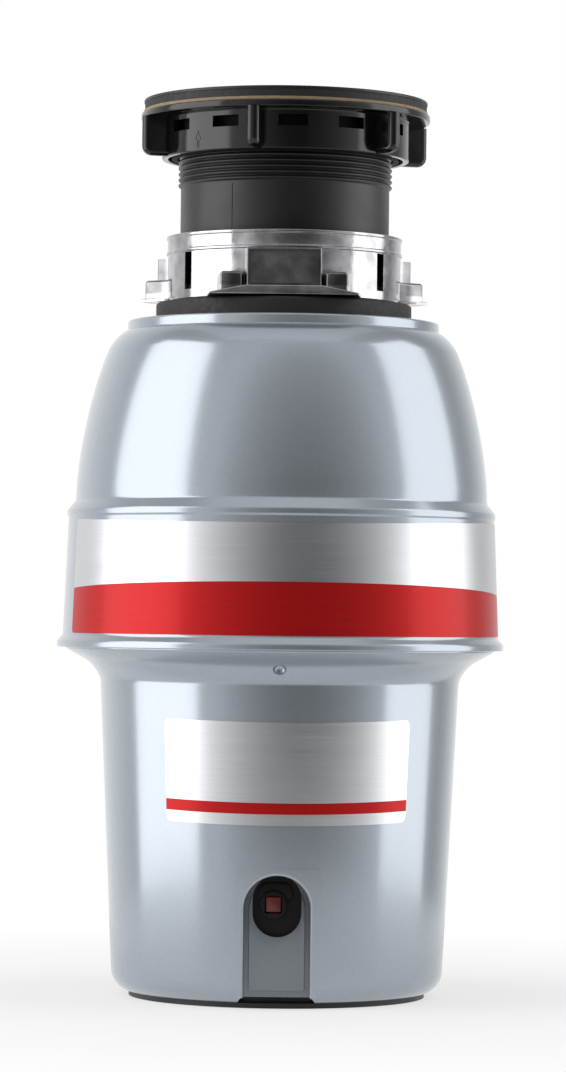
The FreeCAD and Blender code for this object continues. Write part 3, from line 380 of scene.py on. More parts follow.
def rectangle(left, right, low, high, corner=0.0):
    """Outline of a rectangle with equally rounded corners."""
    return [(left, low, corner), (right, low, corner), (right, high, corner), (left, high, corner)]


def round_corner(mesh, corner, offset):
    """Rounds a corner of a flat outline; the offset is how much of each side the round takes."""
    segments = 3 if offset < 1 else 5 if offset < 4 else 10 if offset < 12 else 24
    bmesh.ops.bevel(
        mesh, geom=[corner], offset=offset * MM, offset_type="OFFSET", segments=segments,
        affect="VERTICES", profile=0.5, material=-1,
    )


def flat(outline, place):
    """A flat face through (a, b, round) corners; place turns (a, b) into a point."""
    mesh = bmesh.new()
    corners = [mesh.verts.new(place(a * MM, b * MM)) for a, b, _ in outline]
    mesh.faces.new(corners)
    for corner, (_, _, offset) in zip(corners, outline):
        if offset:
            round_corner(mesh, corner, offset)
    return mesh


def upright(x, z):
    """Places an outline in the plane through the shaft."""
    return (x, 0.0, z)


def level(x, y):
    """Places an outline in the floor's plane."""
    return (x, y, 0.0)


def turned(outline, steps, angle=TURN, start=0.0):
    """Turns an outline of (radius, height, round) corners about the shaft, from a start angle."""
    mesh = flat(outline, upright)
    bmesh.ops.delete(mesh, geom=list(mesh.faces), context="FACES_ONLY")
    turn_by(mesh, start - 90.0)
    bmesh.ops.spin(
        mesh, geom=list(mesh.verts) + list(mesh.edges), cent=(0, 0, 0), axis=(0, 0, 1),
        angle=math.radians(angle), steps=steps, use_merge=angle == TURN,
    )
    clean(mesh)
    if angle < TURN:
        open_edges = [edge for edge in mesh.edges if edge.is_boundary]
        bmesh.ops.holes_fill(mesh, edges=open_edges)
        bmesh.ops.recalc_face_normals(mesh, faces=list(mesh.faces))
    return mesh


def clean(mesh):
    """Welds the seams and turns the faces outwards."""
    bmesh.ops.remove_doubles(mesh, verts=list(mesh.verts), dist=WELD)
    bmesh.ops.recalc_face_normals(mesh, faces=list(mesh.faces))


def turn_by(mesh, degrees):
    """Turns everything in the mesh about the shaft."""
    bmesh.ops.rotate(
        mesh, verts=list(mesh.verts), cent=(0, 0, 0), matrix=Matrix.Rotation(math.radians(degrees), 3, "Z")
    )


def slab(outline, near, far, edge_round=0.0, draft=1.0):
    """An (x, z) outline at the front between two distances from the shaft; draft narrows its face."""
    mesh = flat(outline, upright)
    thicken(mesh, Vector((0, -near * MM, 0)), Vector((0, (near - far) * MM, 0)), edge_round)
    if draft != 1.0:
        face = [vert for vert in mesh.verts if vert.co.y < -(far - edge_round * 1.5) * MM]
        bmesh.ops.scale(mesh, verts=face, vec=(draft, 1, 1))
    return mesh


def plate(outline, low, high):
    """An (x, y) outline from one height to another."""
    mesh = flat(outline, level)
    thicken(mesh, Vector((0, 0, low * MM)), Vector((0, 0, (high - low) * MM)))
    return mesh


def thicken(mesh, shift, depth, edge_round=0.0, chosen=lambda middle: True):
    """Moves a flat face by the shift, extrudes it by the depth and rounds the chosen edges of its rims."""
    bmesh.ops.translate(mesh, verts=list(mesh.verts), vec=shift)
    made = bmesh.ops.extrude_face_region(mesh, geom=list(mesh.faces), use_keep_orig=True)
    far = [item for item in made["geom"] if isinstance(item, bmesh.types.BMVert)]
    bmesh.ops.translate(mesh, verts=far, vec=depth)
    clean(mesh)
    if edge_round:
        axis = depth.normalized()
        rims = [
            edge for edge in mesh.edges
            if abs((edge.verts[1].co - edge.verts[0].co).normalized().dot(axis)) < 0.5
            and chosen((edge.verts[0].co + edge.verts[1].co) / (2 * MM))
        ]
        bmesh.ops.bevel(
            mesh, geom=rims, offset=edge_round * MM, offset_type="OFFSET",
            segments=3 if edge_round < 1 else 6, affect="EDGES", profile=0.5, material=-1, clamp_overlap=True,
        )


def repeated(mesh, count, first=0.0):
    """Copies of a mesh round the shaft, the first one turned by some degrees."""
    turn_by(mesh, first)
    whole = list(mesh.verts) + list(mesh.edges) + list(mesh.faces)
    for index in range(1, count):
        copy = bmesh.ops.duplicate(mesh, geom=whole)
        verts = [item for item in copy["geom"] if isinstance(item, bmesh.types.BMVert)]
        turn = Matrix.Rotation(math.radians(TURN * index / count), 3, "Z")
        bmesh.ops.rotate(mesh, verts=verts, cent=(0, 0, 0), matrix=turn)
    return mesh


def as_data(mesh, name):
    """Turns a mesh being edited into mesh data and frees it."""
    data = bpy.data.meshes.new(name)
    mesh.to_mesh(data)
    mesh.free()
    return data


def joined(*meshes):
    """Puts all meshes into the first one."""
    whole = meshes[0]
    for mesh in meshes[1:]:
        data = as_data(mesh, "joined")
        whole.from_mesh(data)
        bpy.data.meshes.remove(data)
    return whole


def cut(mesh, *tools):
    """Takes the tools out of a closed mesh."""
    for tool in tools:
        body = bpy.data.objects.new("body", as_data(mesh, "body"))
        cutter = bpy.data.objects.new("cutter", as_data(tool, "cutter"))
        for item in (body, cutter):
            bpy.context.scene.collection.objects.link(item)
        step = body.modifiers.new("Cut", "BOOLEAN")
        step.operation = "DIFFERENCE"
        step.solver = "EXACT"
        step.object = cutter
        bpy.context.view_layer.update()
        evaluated = body.evaluated_get(bpy.context.evaluated_depsgraph_get())
        result = bpy.data.meshes.new_from_object(evaluated)
        mesh = bmesh.new()
        mesh.from_mesh(result)
        for item in (body, cutter):
            data = item.data
            bpy.data.objects.remove(item)
            bpy.data.meshes.remove(data)
        bpy.data.meshes.remove(result)
        if not mesh.faces:
            raise RuntimeError("a cut left nothing")
        bmesh.ops.dissolve_degenerate(mesh, dist=SLIVER, edges=list(mesh.edges))
    return mesh


def piece(mesh, name, body, slot, *materials, replaces=(), sharp=32.0):
    """Makes a finished mesh a piece that rides on a body and stands for nodes of the frame."""
    for face in mesh.faces:
        face.smooth = True
    for edge in mesh.edges:
        if len(edge.link_faces) == 2 and edge.calc_face_angle() > math.radians(sharp):
            edge.smooth = False
    made = bpy.data.objects.new(name, as_data(mesh, name))
    bpy.context.scene.collection.objects.link(made)
    for material in materials:
        made.data.materials.append(material)
    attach(made, body)
    if replaces:
        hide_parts(*replaces)


def dress(material, *nodes):
    """Gives nodes of the frame their material."""
    for name in nodes:
        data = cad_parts[name].data
        data.materials.clear()
        data.materials.append(material)


# ------------------------------------------------------------------ stage


# name, place, width and height, share of the softboxes' power, height that it faces; in metres
LAMPS = (
    ("left_softbox", (-1.10, -0.24, 0.52), (1.07, 1.70), 1.2, 0.52),
    ("right_softbox", (1.10, 0.02, 0.52), (0.84, 1.70), 0.72, 0.52),
    ("top_fill", (0.0, 0.0, 1.9), (1.8, 1.8), 0.25, 0.18),
)
BACKWARDS = (-0.22, 0.975, 0.0)  # towards the brightest end of the room
# brightness of the room in mirrors, from behind the camera to the back of the room
ROOM_TONES = (
    (0.0, 0.09), (0.03, 0.2), (0.10, 0.45), (0.20, 0.9), (0.34, 0.7), (0.55, 0.5), (0.72, 0.42),
    (0.84, 0.8), (0.95, 1.0),
)
ROOM_LIGHT = 0.45
FLOOR_RADIUS = 0.40


class DISPOSAL_OT_stage(bpy.types.Operator):
    """Floor, tall soft lamps, white surroundings and the camera"""

    bl_idname = "disposal.stage"
    bl_label = "Stage"

    def execute(self, context):
        values = settings("stage")
        self.floor(values)
        self.surroundings(context)
        for name, place, size, share, aim in LAMPS:
            self.lamp(name, place, size, values.softbox * share, aim)
        self.camera(context, values)
        return {"FINISHED"}

    def floor(self, values):
        """A disc that takes the shadow and fades into the white room at its edge."""
        mesh = bmesh.new()
        bmesh.ops.create_circle(mesh, cap_ends=True, radius=FLOOR_RADIUS, segments=96)
        data = as_data(mesh, "floor")
        floor = bpy.data.objects.new("floor", data)
        bpy.context.scene.collection.objects.link(floor)
        finish = Finish("floor_paper")
        specks = finish.noise(40.0, 2.0)
        finish.colour(finish.tinted(specks, values.floor_colour, 0.99, 1.01))
        finish.roughness(0.9)
        glow = finish.add("ShaderNodeEmission")
        glow.inputs["Color"].default_value = (1, 1, 1, 1)
        radius = finish.from_shaft()
        path = finish.add("ShaderNodeLightPath").outputs
        fade = finish.ranged(radius, 0.6, 1.0, 0.10, 0.35)
        direct = finish.math("MULTIPLY", path["Is Camera Ray"], fade)
        mirrored = finish.math("MAXIMUM", path["Is Glossy Ray"], path["Is Transmission Ray"])
        sideways = finish.math("ABSOLUTE", finish.coordinates()["X"])
        beside = finish.ranged(sideways, 0.0, 1.0, 0.08, 0.22)
        below = finish.ranged(radius, 0.7, 0.3, 0.09, 0.32)
        mirrored = finish.math("MULTIPLY", mirrored, finish.math("MAXIMUM", beside, below))
        blend = finish.add("ShaderNodeMixShader")
        finish.feed(blend.inputs[0], finish.math("MAXIMUM", direct, mirrored))
        finish.feed(blend.inputs[1], finish.shader.outputs["BSDF"])
        finish.feed(blend.inputs[2], glow.outputs["Emission"])
        output = finish.tree.nodes["Material Output"]
        finish.feed(output.inputs["Surface"], blend.outputs["Shader"])
        data.materials.append(finish.material)

    def surroundings(self, context):
        """White where the camera and mirrors see the back of the room, soft grey light elsewhere."""
        world = bpy.data.worlds.new("studio")
        context.scene.world = world
        world.use_nodes = True
        tree = world.node_tree
        path = tree.nodes.new("ShaderNodeLightPath")
        place = tree.nodes.new("ShaderNodeTexCoord")
        away = tree.nodes.new("ShaderNodeVectorMath")
        away.operation = "DOT_PRODUCT"
        tree.links.new(place.outputs["Generated"], away.inputs[0])
        away.inputs[1].default_value = BACKWARDS
        share = tree.nodes.new("ShaderNodeMapRange")
        tree.links.new(away.outputs["Value"], share.inputs["Value"])
        share.inputs["From Min"].default_value = -1.0
        depth = tree.nodes.new("ShaderNodeValToRGB")
        tree.links.new(share.outputs["Result"], depth.inputs["Fac"])
        tones = depth.color_ramp.elements
        first, *between, last = ROOM_TONES
        for element, (position, tone) in zip(tones, (first, last)):
            element.position = position
            element.color = (tone, tone, tone, 1)
        for position, tone in between:
            tones.new(position).color = (tone, tone, tone, 1)
        mirrored = tree.nodes.new("ShaderNodeMath")
        mirrored.operation = "MAXIMUM"
        tree.links.new(path.outputs["Is Glossy Ray"], mirrored.inputs[0])
        tree.links.new(path.outputs["Is Transmission Ray"], mirrored.inputs[1])
        soft = tree.nodes.new("ShaderNodeMix")
        tree.links.new(mirrored.outputs[0], soft.inputs[0])
        soft.inputs[2].default_value = ROOM_LIGHT
        tree.links.new(depth.outputs["Color"], soft.inputs[3])
        strength = tree.nodes.new("ShaderNodeMix")
        tree.links.new(path.outputs["Is Camera Ray"], strength.inputs[0])
        tree.links.new(soft.outputs[0], strength.inputs[2])
        strength.inputs[3].default_value = 1.0
        background = tree.nodes["Background"]
        background.inputs["Color"].default_value = (1, 1, 1, 1)
        tree.links.new(strength.outputs[0], background.inputs["Strength"])

    def lamp(self, name, place, size, power, aim):
        """A rectangular lamp that faces a height on the shaft."""
        data = bpy.data.lights.new(name, "AREA")
        data.shape = "RECTANGLE"
        data.size, data.size_y = size
        data.energy = power
        made = bpy.data.objects.new(name, data)
        bpy.context.scene.collection.objects.link(made)
        made.location = place
        made.rotation_mode = "QUATERNION"
        made.rotation_quaternion = (Vector((0.0, 0.0, aim)) - Vector(place)).to_track_quat("-Z", "Y")

    def camera(self, context, values):
        """The camera, turned a little about its line of sight."""
        data = bpy.data.cameras.new("camera")
        data.lens = values.lens
        data.sensor_width = 36.0
        camera = bpy.data.objects.new("camera", data)
        context.scene.collection.objects.link(camera)
        place = Vector((values.side, -values.distance, values.height))
        aim = Vector((values.side, 0.0, values.aim))
        facing = (aim - place).to_track_quat("-Z", "Y")
        camera.location = place
        camera.rotation_euler = (facing.to_matrix() @ Matrix.Rotation(values.roll, 3, "Z")).to_euler()
        context.scene.camera = camera
        context.scene.view_settings.view_transform = "Standard"


# ------------------------------------------------------------------ casing


ARCH_CENTRE = 39.1  # height of the middle of the arch's round head
ARCH_HALF_WIDTH = 12.9
PAD_LOW, PAD_TOP = 4.4, 55.0  # heights of the raised pad round the arch
PAD_PROUD = 0.2
PAD_DEPTH = 1.9
BACK = -95.0  # a slab that reaches this far behind the shaft leaves the casing


def belt_radius(z):
    """Outside of the upper shell's tapered belt."""
    return 87.7 - (z - 144.4) * 1.9 / 47.1


def cup_radius(z):
    """Outside of the lower shell's tapered cup."""
    return 66.7 + (z - 10.5) * 5.5 / 115.5


class DISPOSAL_OT_upper_shell(bpy.types.Operator):
    """Lip, tapered belt, bead, dome and crown of the casing"""

    bl_idname = "disposal.upper_shell"
    bl_label = "Upper shell"

    def execute(self, context):
        steps = settings("casing").steps
        shell = turned([
            (84.95, 139.5, 0), (90.0, 139.5, 0.5), (90.0, 142.0, 0.7), (87.7, 144.4, 0.8),
            (belt_radius(146.4), 146.4, 0), (belt_radius(190.8), 190.8, 0),
            (85.8, 191.5, 0.2), (86.3, 192.3, 0.3), (86.3, 194.4, 0.5), (83.0, 198.4, 0.6),
            (81.7, 230.7, 28.0), (69.2, 262.4, 4.2), (64.2, 266.6, 0.6), (62.8, 267.0, 0.3),
            (62.8, 271.0, 0.9), (53.0, 271.0, 0.4), (53.0, 264.3, 0), (55.5, 264.3, 0),
            (55.5, 268.5, 0), (60.3, 268.5, 0), (60.6, 265.0, 0), (66.7, 260.0, 3.0),
            (79.2, 230.0, 26.0), (80.5, 197.4, 0), (83.3, 191.5, 0), (84.95, 150.0, 0),
        ], steps)
        port = slab(rectangle(-36.5, 36.5, 149.7, 194.7, 3.0), -60.0, BACK)
        mesh = cut(shell, port, disc(0.0, 236.0, 14.5, -60.0, BACK))
        piece(mesh, "upper_casing", "disposer", "housing_grey", painted_casing(), replaces=["upper_shell"])
        return {"FINISHED"}


def disc(x, z, radius, near, far, edge_round=0.0):
    """A round slab at the front about (x, z)."""
    mesh = bmesh.new()
    facing = Matrix.Rotation(math.radians(90), 4, "X")
    bmesh.ops.create_circle(mesh, cap_ends=True, radius=radius * MM, segments=48, matrix=facing)
    thicken(mesh, Vector((x * MM, -near * MM, z * MM)), Vector((0, (near - far) * MM, 0)), edge_round)
    return mesh


def arch_outline(half_width, low):
    """A round-headed arch; its head is all but a half circle."""
    head = half_width * 0.999
    return [
        (-half_width, low, 0), (half_width, low, 0),
        (half_width, ARCH_CENTRE + half_width, head), (-half_width, ARCH_CENTRE + half_width, head),
    ]


class DISPOSAL_OT_lower_shell(bpy.types.Operator):
    """Tapered cup with the cove under the belt and the arch round the reset button"""

    bl_idname = "disposal.lower_shell"
    bl_label = "Lower shell"

    def execute(self, context):
        values = settings("casing")
        grey = bpy.data.materials.get("casing_grey") or painted_casing()
        cup = turned([
            (56.0, 2.0, 0), (60.3, 2.0, 0.2), (cup_radius(3.9), 3.9, 6.0), (cup_radius(14), 14.0, 0),
            (cup_radius(60), 60.0, 0), (cup_radius(122), 122.0, 0), (72.2, 126.0, 0.5), (73.65, 131.94, 5.8),
            (86.2, 138.9, 0.5), (86.2, 139.5, 0), (84.8, 139.5, 0), (84.8, 150.0, 0), (82.3, 150.0, 0),
            (82.3, 140.5, 0), (71.6, 134.0, 4.0), (69.7, 126.0, 0), (64.2, 10.5, 0), (63.6, 4.5, 3.0),
            (56.0, 4.5, 0),
        ], values.steps, start=TURN / values.steps / 2)
        dimple = bmesh.new()
        bmesh.ops.create_uvsphere(
            dimple, u_segments=24, v_segments=16, radius=2.8 * MM,
            matrix=Matrix.Translation((0, -76.2 * MM, 131.6 * MM)),
        )
        cup = cut(cup, opening(13.4), dimple)
        foot, head = cup_radius(PAD_LOW), cup_radius(PAD_TOP)
        pad = turned([
            (foot - PAD_DEPTH, PAD_LOW, 0), (foot + PAD_PROUD, PAD_LOW, 0),
            (head + PAD_PROUD, PAD_TOP, 0), (head - PAD_DEPTH, PAD_TOP, 0),
        ], 8, angle=27.0, start=-13.5)
        pad = cut(pad, opening(ARCH_HALF_WIDTH))
        self.round_rim(pad, values.rim_round)
        mesh = joined(cup, pad)
        piece(mesh, "lower_casing", "disposer", "housing_grey", grey, replaces=["lower_shell"])
        reveal = slab(arch_outline(15.3, 4.6), 59.5, 64.4)
        reveal = cut(reveal, slab(arch_outline(12.85, -5.0), 50.0, 80.0))
        plate_back = slab(arch_outline(12.8, 4.7), 60.6, 61.6)
        panel = slab(arch_outline(10.9, 7.2), 61.5, 63.0, 0.3)
        mesh = joined(reveal, cut(plate_back, window()), cut(panel, window()))
        # painted shade: reveal walls, groove floor and panel share a copy of the casing grey at half
        # brightness, standing in for the shade of the recess round the arch
        painted_shade_grey = painted_casing("arch_panel_painted_shade", 0.5)
        piece(mesh, "arch_panel", "disposer", "housing_grey", painted_shade_grey)
        return {"FINISHED"}

    def round_rim(self, mesh, radius):
        """Rounds the edge where the arch cuts the pad's outside."""
        rim = []
        for edge in mesh.edges:
            points = [vert.co / MM for vert in edge.verts]
            outside = all(math.hypot(point.x, point.y) > cup_radius(point.z) - 0.2 for point in points)
            inward = all(abs(point.x) < ARCH_HALF_WIDTH + 0.2 and point.z < PAD_TOP - 1 for point in points)
            if outside and inward and len(edge.link_faces) == 2 and edge.calc_face_angle() > 0.6:
                rim.append(edge)
        made = bmesh.ops.bevel(
            mesh, geom=rim, offset=radius * MM, offset_type="OFFSET", segments=4, affect="EDGES",
            profile=0.5, material=-1, clamp_overlap=False,
        )
        round_faces = set(made["faces"])
        for face in round_faces:
            for edge in face.edges:
                edge.smooth = all(other in round_faces for other in edge.link_faces)


def opening(half_width):
    """Cutter for the arch, which flares at the foot."""
    flare = half_width + 1.8
    outline = [
        (-flare, -5.0, 0), (flare, -5.0, 0), (flare, 2.2, 0),
        (half_width, 5.0, 1.4), *arch_outline(half_width, 0)[2:], (-half_width, 5.0, 1.4),
        (-flare, 2.2, 0),
    ]
    return slab(outline, 50.0, 80.0)


def window():
    """Cutter for the obround window of the arch's panel."""
    return slab(rectangle(-9.5, 9.5, 28.0, 52.2, 9.49), 50.0, 70.0)


class DISPOSAL_OT_switch(bpy.types.Operator):
    """Overload switch behind the arch and its red push button"""

    bl_idname = "disposal.switch"
    bl_label = "Reset switch"

    def execute(self, context):
        black = moulded_black("switch_black", 0.4, 0.55, specular=0.2)
        housing = slab(rectangle(-11.0, 11.0, 26.5, 53.5, 1.5), 50.0, 60.6)
        collar = disc(-1.4, 40.6, 5.3, 60.6, 63.2, 0.35)
        collar = cut(collar, slab(rectangle(-4.8, 2.0, 37.2, 44.0, 0.4), 61.0, 70.0))
        bridge = [(-7.6, 43.0, 1.0), (6.4, 43.0, 1.0), (5.2, 49.0, 2.5), (-6.4, 49.0, 2.5)]
        yoke = slab(bridge, 60.6, 61.6, 0.3)
        mesh = joined(housing, collar, yoke)
        piece(mesh, "overload_switch", "disposer", "black_plastic", black, replaces=["overload_protector"])
        cap = slab(rectangle(-4.5, 1.7, 37.5, 43.7, 0.6), 56.4, 62.3, 0.5)
        step = slab(rectangle(-3.1, 0.3, 39.0, 42.2, 0.4), 62.0, 62.4, 0.15)
        cap = joined(cap, step)
        piece(cap, "push_button", "button", "button_red", red_plastic(), replaces=["reset_button"])
        return {"FINISHED"}


# ------------------------------------------------------------------ labels


PER_DEGREE = 1.55  # millimetres of flat foil to a degree round the shaft
STRIP = 2  # degrees between the creases along which a foil is bent
GLUE = 0.03  # millimetres between a foil and the casing
BELT_LOW, BAND_TOP, BELT_TOP = 145.2, 166.0, 188.7
LINE_LOW, LINE_TOP = 75.9, 80.3


def wrapped_label(name, radius_at, left, right, low, high, corner, red, lift):
    """A foil bent round the shaft, red between two heights; lift gives how far a point of it rises."""
    values = settings("label")
    mesh = flat(rectangle(left * PER_DEGREE, right * PER_DEGREE, low, high, corner), upright)
    planes = [((0, 0, z * MM), (0, 0, 1)) for z in red if low < z < high]
    strips = int((right - left) / STRIP)
    for index in range(1, strips):
        x = (left + (right - left) * index / strips) * PER_DEGREE * MM
        planes.append(((x, 0, 0), (1, 0, 0)))
    for point, normal in planes:
        whole = list(mesh.verts) + list(mesh.edges) + list(mesh.faces)
        bmesh.ops.bisect_plane(mesh, geom=whole, dist=1e-7, plane_co=point, plane_no=normal)
    for face in mesh.faces:
        z = face.calc_center_median().z / MM
        face.material_index = int(red[0] < z < red[1])
    for vert in mesh.verts:
        angle = vert.co.x / MM / PER_DEGREE
        z = vert.co.z / MM
        z += lift(angle, z)
        radius = (radius_at(z) + GLUE) * MM
        turn = math.radians(angle)
        vert.co = (radius * math.sin(turn), -radius * math.cos(turn), z * MM)
    clean(mesh)
    if mesh.faces[0].normal.dot(mesh.faces[0].calc_center_median()) < 0:
        bmesh.ops.reverse_faces(mesh, faces=list(mesh.faces))
    silver = bpy.data.materials.get("brushed_foil") or brushed(
        "brushed_foil", values.silver, 0.28, 0.36, across=6000.0, along=25.0, contrast=0.06, bump=0.02
    )
    print_red = bpy.data.materials.get("printed_red") or printed_red()
    bmesh.ops.solidify(mesh, geom=list(mesh.faces), thickness=-(values.foil - GLUE * MM))
    piece(mesh, name + "_foil", "disposer", "foil", silver, print_red, replaces=[name])


class DISPOSAL_OT_labels(bpy.types.Operator):
    """The two brushed foils with their plain red bands"""

    bl_idname = "disposal.labels"
    bl_label = "Labels"

    def execute(self, context):
        wrapped_label(
            "belt_label", belt_radius, -70.0, 109.0, BELT_LOW, BELT_TOP, 1.8, (BELT_LOW, BAND_TOP), belt_lift
        )
        wrapped_label(
            "front_label", cup_radius, -38.5, 45.5, 71.5, 111.6, 2.6, (LINE_LOW, LINE_TOP), front_lift
        )
        return {"FINISHED"}


def belt_lift(angle, z):
    """The belt label's upper edge rises to its ends and its red band falls away."""
    share = max(0.0, (z - BAND_TOP) / (BELT_TOP - BAND_TOP))
    fall = -0.0006 * angle**2 * max(0.0, 1.0 - abs(z - BAND_TOP) / 20.0)
    return fall + 1.6 * share * min(1.0, (angle / 65.0) ** 2)


def front_lift(angle, z):
    """The front label's two ends rise a millimetre."""
    return ((angle - 3.5) / 42.0) ** 2


# ------------------------------------------------------------------ mounting


FINE_STEPS = 144
LUGS = 3
EARS = 6
THREAD_TURNS, THREAD_LOW, THREAD_PITCH = 12, 324.9, 2.3
ARROW_ANGLE = -44.0  # degrees from the front


class DISPOSAL_OT_cushion(bpy.types.Operator):
    """Rubber cushion between the casing and the mounting ring"""

    bl_idname = "disposal.cushion"
    bl_label = "Cushion"

    def execute(self, context):
        mesh = turned([
            (40.8, 264.3, 0), (51.6, 264.3, 0), (51.6, 278.4, 1.2), (44.2, 278.4, 0.4), (44.2, 281.9, 0.3),
            (45.6, 281.9, 0.3), (44.8, 284.8, 0.8), (38.0, 284.8, 0.6), (38.0, 280.0, 0), (40.8, 280.0, 0),
        ], 96)
        piece(mesh, "cushion", "disposer", "rubber", rubber("cushion_rubber"), replaces=["cushion_mount"])
        return {"FINISHED"}


class DISPOSAL_OT_mounting_ring(bpy.types.Operator):
    """Die-cast swivel ring with its collar, windowed lugs, ledges and slots"""

    bl_idname = "disposal.mounting_ring"
    bl_label = "Mounting ring"

    def execute(self, context):
        wall = turned([
            (44.5, 278.8, 0.2), (47.0, 278.8, 0.3), (47.0, 297.6, 0.2), (47.5, 297.6, 0.3),
            (47.7, 298.6, 0.2), (47.2, 298.9, 0.2), (47.2, 303.6, 0.2), (47.7, 303.9, 0.2),
            (47.7, 305.0, 0.3), (42.8, 305.0, 0.4), (42.8, 297.4, 0.3), (45.9, 297.4, 0.2),
            (45.9, 281.6, 0.2), (44.5, 281.6, 0.2),
        ], FINE_STEPS)
        lugs = repeated(self.lug(), LUGS)
        slots = [self.slot(angle) for angle in (-54.5, 54.5, 180.0)]
        notches = repeated(self.notch(), LUGS, 60.0)
        mesh = joined(cut(wall, *slots, notches), lugs)
        zinc = die_cast()
        piece(mesh, "swivel_collar", "swivel_ring", "zinc", zinc, replaces=["mounting_ring"], sharp=40.0)
        return {"FINISHED"}

    def lug(self):
        """The lug at the front, with a blind window, the ledge under it and a block on each side."""
        body = slab(rectangle(-16.0, 16.0, 279.2, 297.4), 38.0, 51.2, 0.6, draft=0.92)
        window = slab(rectangle(-13.6, 13.6, 283.4, 296.3, 0.5), 47.6, 60.0)
        ledge = slab([
            (-30.5, 279.0, 0), (30.5, 279.0, 0), (30.5, 279.8, 0), (16, 282.6, 0), (-16, 282.6, 0),
            (-30.5, 279.8, 0),
        ], 36.0, 51.3, 0.4, draft=0.96)
        blocks = [
            slab([(a, 279.4, 0), (b, 279.4, 0), (b, 288, 1.5), (a, 288, 1.5)], 38.0, 50.6, 0.9, draft=0.95)
            for a, b in ((17.3, 26.5), (-26.5, -17.3))
        ]
        feet = [cut(shape, self.bores()) for shape in (ledge, *blocks)]
        return joined(cut(body, window, self.bores()), *feet)

    def bores(self):
        """Cutter that ends the lugs inside the wall."""
        return turned([
            (30, 270, 0), (45.0, 270, 0), (45.0, 281.2, 0), (46.4, 281.2, 0), (46.4, 300, 0), (30, 300, 0),
        ], 72)

    def slot(self, angle):
        """Cutter for an upright slot through the wall."""
        shape = plate(rectangle(-2.3, 2.3, -55.0, -40.0), 282.4, 297.3)
        turn_by(shape, angle)
        return shape

    def notch(self):
        """Cutter that lets a tab of the sink flange through the collar."""
        return turned(rectangle(42.0, 46.2, 296.0, 306.0), 12, angle=36.0, start=-18.0)


class DISPOSAL_OT_sink_flange(bpy.types.Operator):
    """Sink flange: plain tube, thread and rim"""

    bl_idname = "disposal.sink_flange"
    bl_label = "Sink flange"

    def execute(self, context):
        outline = [(37.0, 285.3, 0.3), (42.2, 285.3, 0.5)]
        for index in range(THREAD_TURNS):
            low = THREAD_LOW + THREAD_PITCH * index
            outline += [
                (42.15, low + 0.05, 0.15), (43.2, low + 0.85, 0.25), (43.2, low + 1.3, 0.25),
                (42.15, low + 2.1, 0.15),
            ]
        outline += [
            (42.2, 359.2, 0.2), (57.3, 359.2, 0.2), (57.3, 360.4, 0.3), (55.4, 360.4, 0), (55.4, 359.8, 0),
            (39.4, 359.8, 0), (39.4, 330.0, 0), (37.0, 330.0, 0),
        ]
        tube = turned(outline, FINE_STEPS)
        tab = turned([
            (41.2, 290.0, 0), (45.4, 290.0, 0.3), (45.4, 296.8, 0.3), (41.2, 296.8, 0),
        ], 12, angle=30.0, start=-15.0)
        seam = slab(rectangle(-21.0, -20.75, 286.0, 324.0), 36.55, 36.72)
        mesh = joined(tube, repeated(tab, LUGS), seam)
        black = moulded_black("flange_black", 0.36, 0.46, grain=2600.0, bump=0.12)
        piece(mesh, "flange_sleeve", "flange", "black_plastic", black, replaces=["sink_flange"])
        return {"FINISHED"}


class DISPOSAL_OT_mounting_nut(bpy.types.Operator):
    """Nut with its skirt, six ears, slots and moulded arrow"""

    bl_idname = "disposal.mounting_nut"
    bl_label = "Mounting nut"

    def execute(self, context):
        turn = math.degrees(settings("mounting").nut_turn)
        skirt = turned([
            (43.4, 336.5, 0.3), (46.0, 336.5, 0.4), (46.0, 349.8, 0), (47.5, 349.8, 0), (47.5, 336.5, 0.3),
            (50.0, 336.5, 0.6), (50.0, 352.3, 0.8), (58.4, 352.3, 0.5), (58.4, 355.0, 0.5),
            (43.4, 355.0, 0.3),
        ], FINE_STEPS)
        for side in (-16.0, 16.0):
            slot = plate(rectangle(-5.85, 5.85, -55.0, -45.0), 345.5, 350.0)
            skirt = cut(skirt, repeated(slot, EARS, turn + side))
        for face in skirt.faces:
            middle = face.calc_center_median() / MM
            hollow = math.hypot(middle.x, middle.y) < 47.4
            face.material_index = int(hollow)
        ears = repeated(self.ear(), EARS, turn)
        mesh = joined(skirt, ears, self.arrow())
        black = moulded_black("nut_gloss_black", 0.10, 0.18, grain=500.0, bump=0.03, factor=0.8)
        matt = moulded_black("nut_hollow_black", 0.6, 0.75, specular=0.15)
        piece(mesh, "nut_body", "nut", "nut_black", black, matt, replaces=["mounting_nut"])
        return {"FINISHED"}

    def ear(self):
        """One ear at the front: a plate that stands out from the skirt, with rounded edges."""
        mesh = flat([(49.0, 336.5, 0), (60.1, 336.5, 4.0), (60.1, 352.4, 0), (49.0, 352.4, 0)], upright)
        thicken(
            mesh, Vector((0, -2.45 * MM, 0)), Vector((0, 4.9 * MM, 0)), 2.1,
            lambda middle: middle.x > 49.5 and middle.z < 352.0,
        )
        turn_by(mesh, -90.0)
        return mesh

    def arrow(self):
        """Raised outline of an arrow that points up."""
        points = [
            (-0.6, 337.5), (-0.6, 341.0), (-1.7, 341.0), (0.0, 344.5), (1.7, 341.0), (0.6, 341.0),
            (0.6, 337.5),
        ]
        outer = flat([(x, z, 0) for x, z in points], upright)
        outer.normal_update()
        bmesh.ops.inset_individual(outer, faces=list(outer.faces), thickness=0.3 * MM, use_even_offset=True)
        inner = next(face for face in outer.faces if len(face.edges) == len(points))
        bmesh.ops.delete(outer, geom=[inner], context="FACES")
        thicken(outer, Vector((0, -49.9 * MM, 0)), Vector((0, -0.25 * MM, 0)))
        turn_by(outer, ARROW_ANGLE)
        return outer


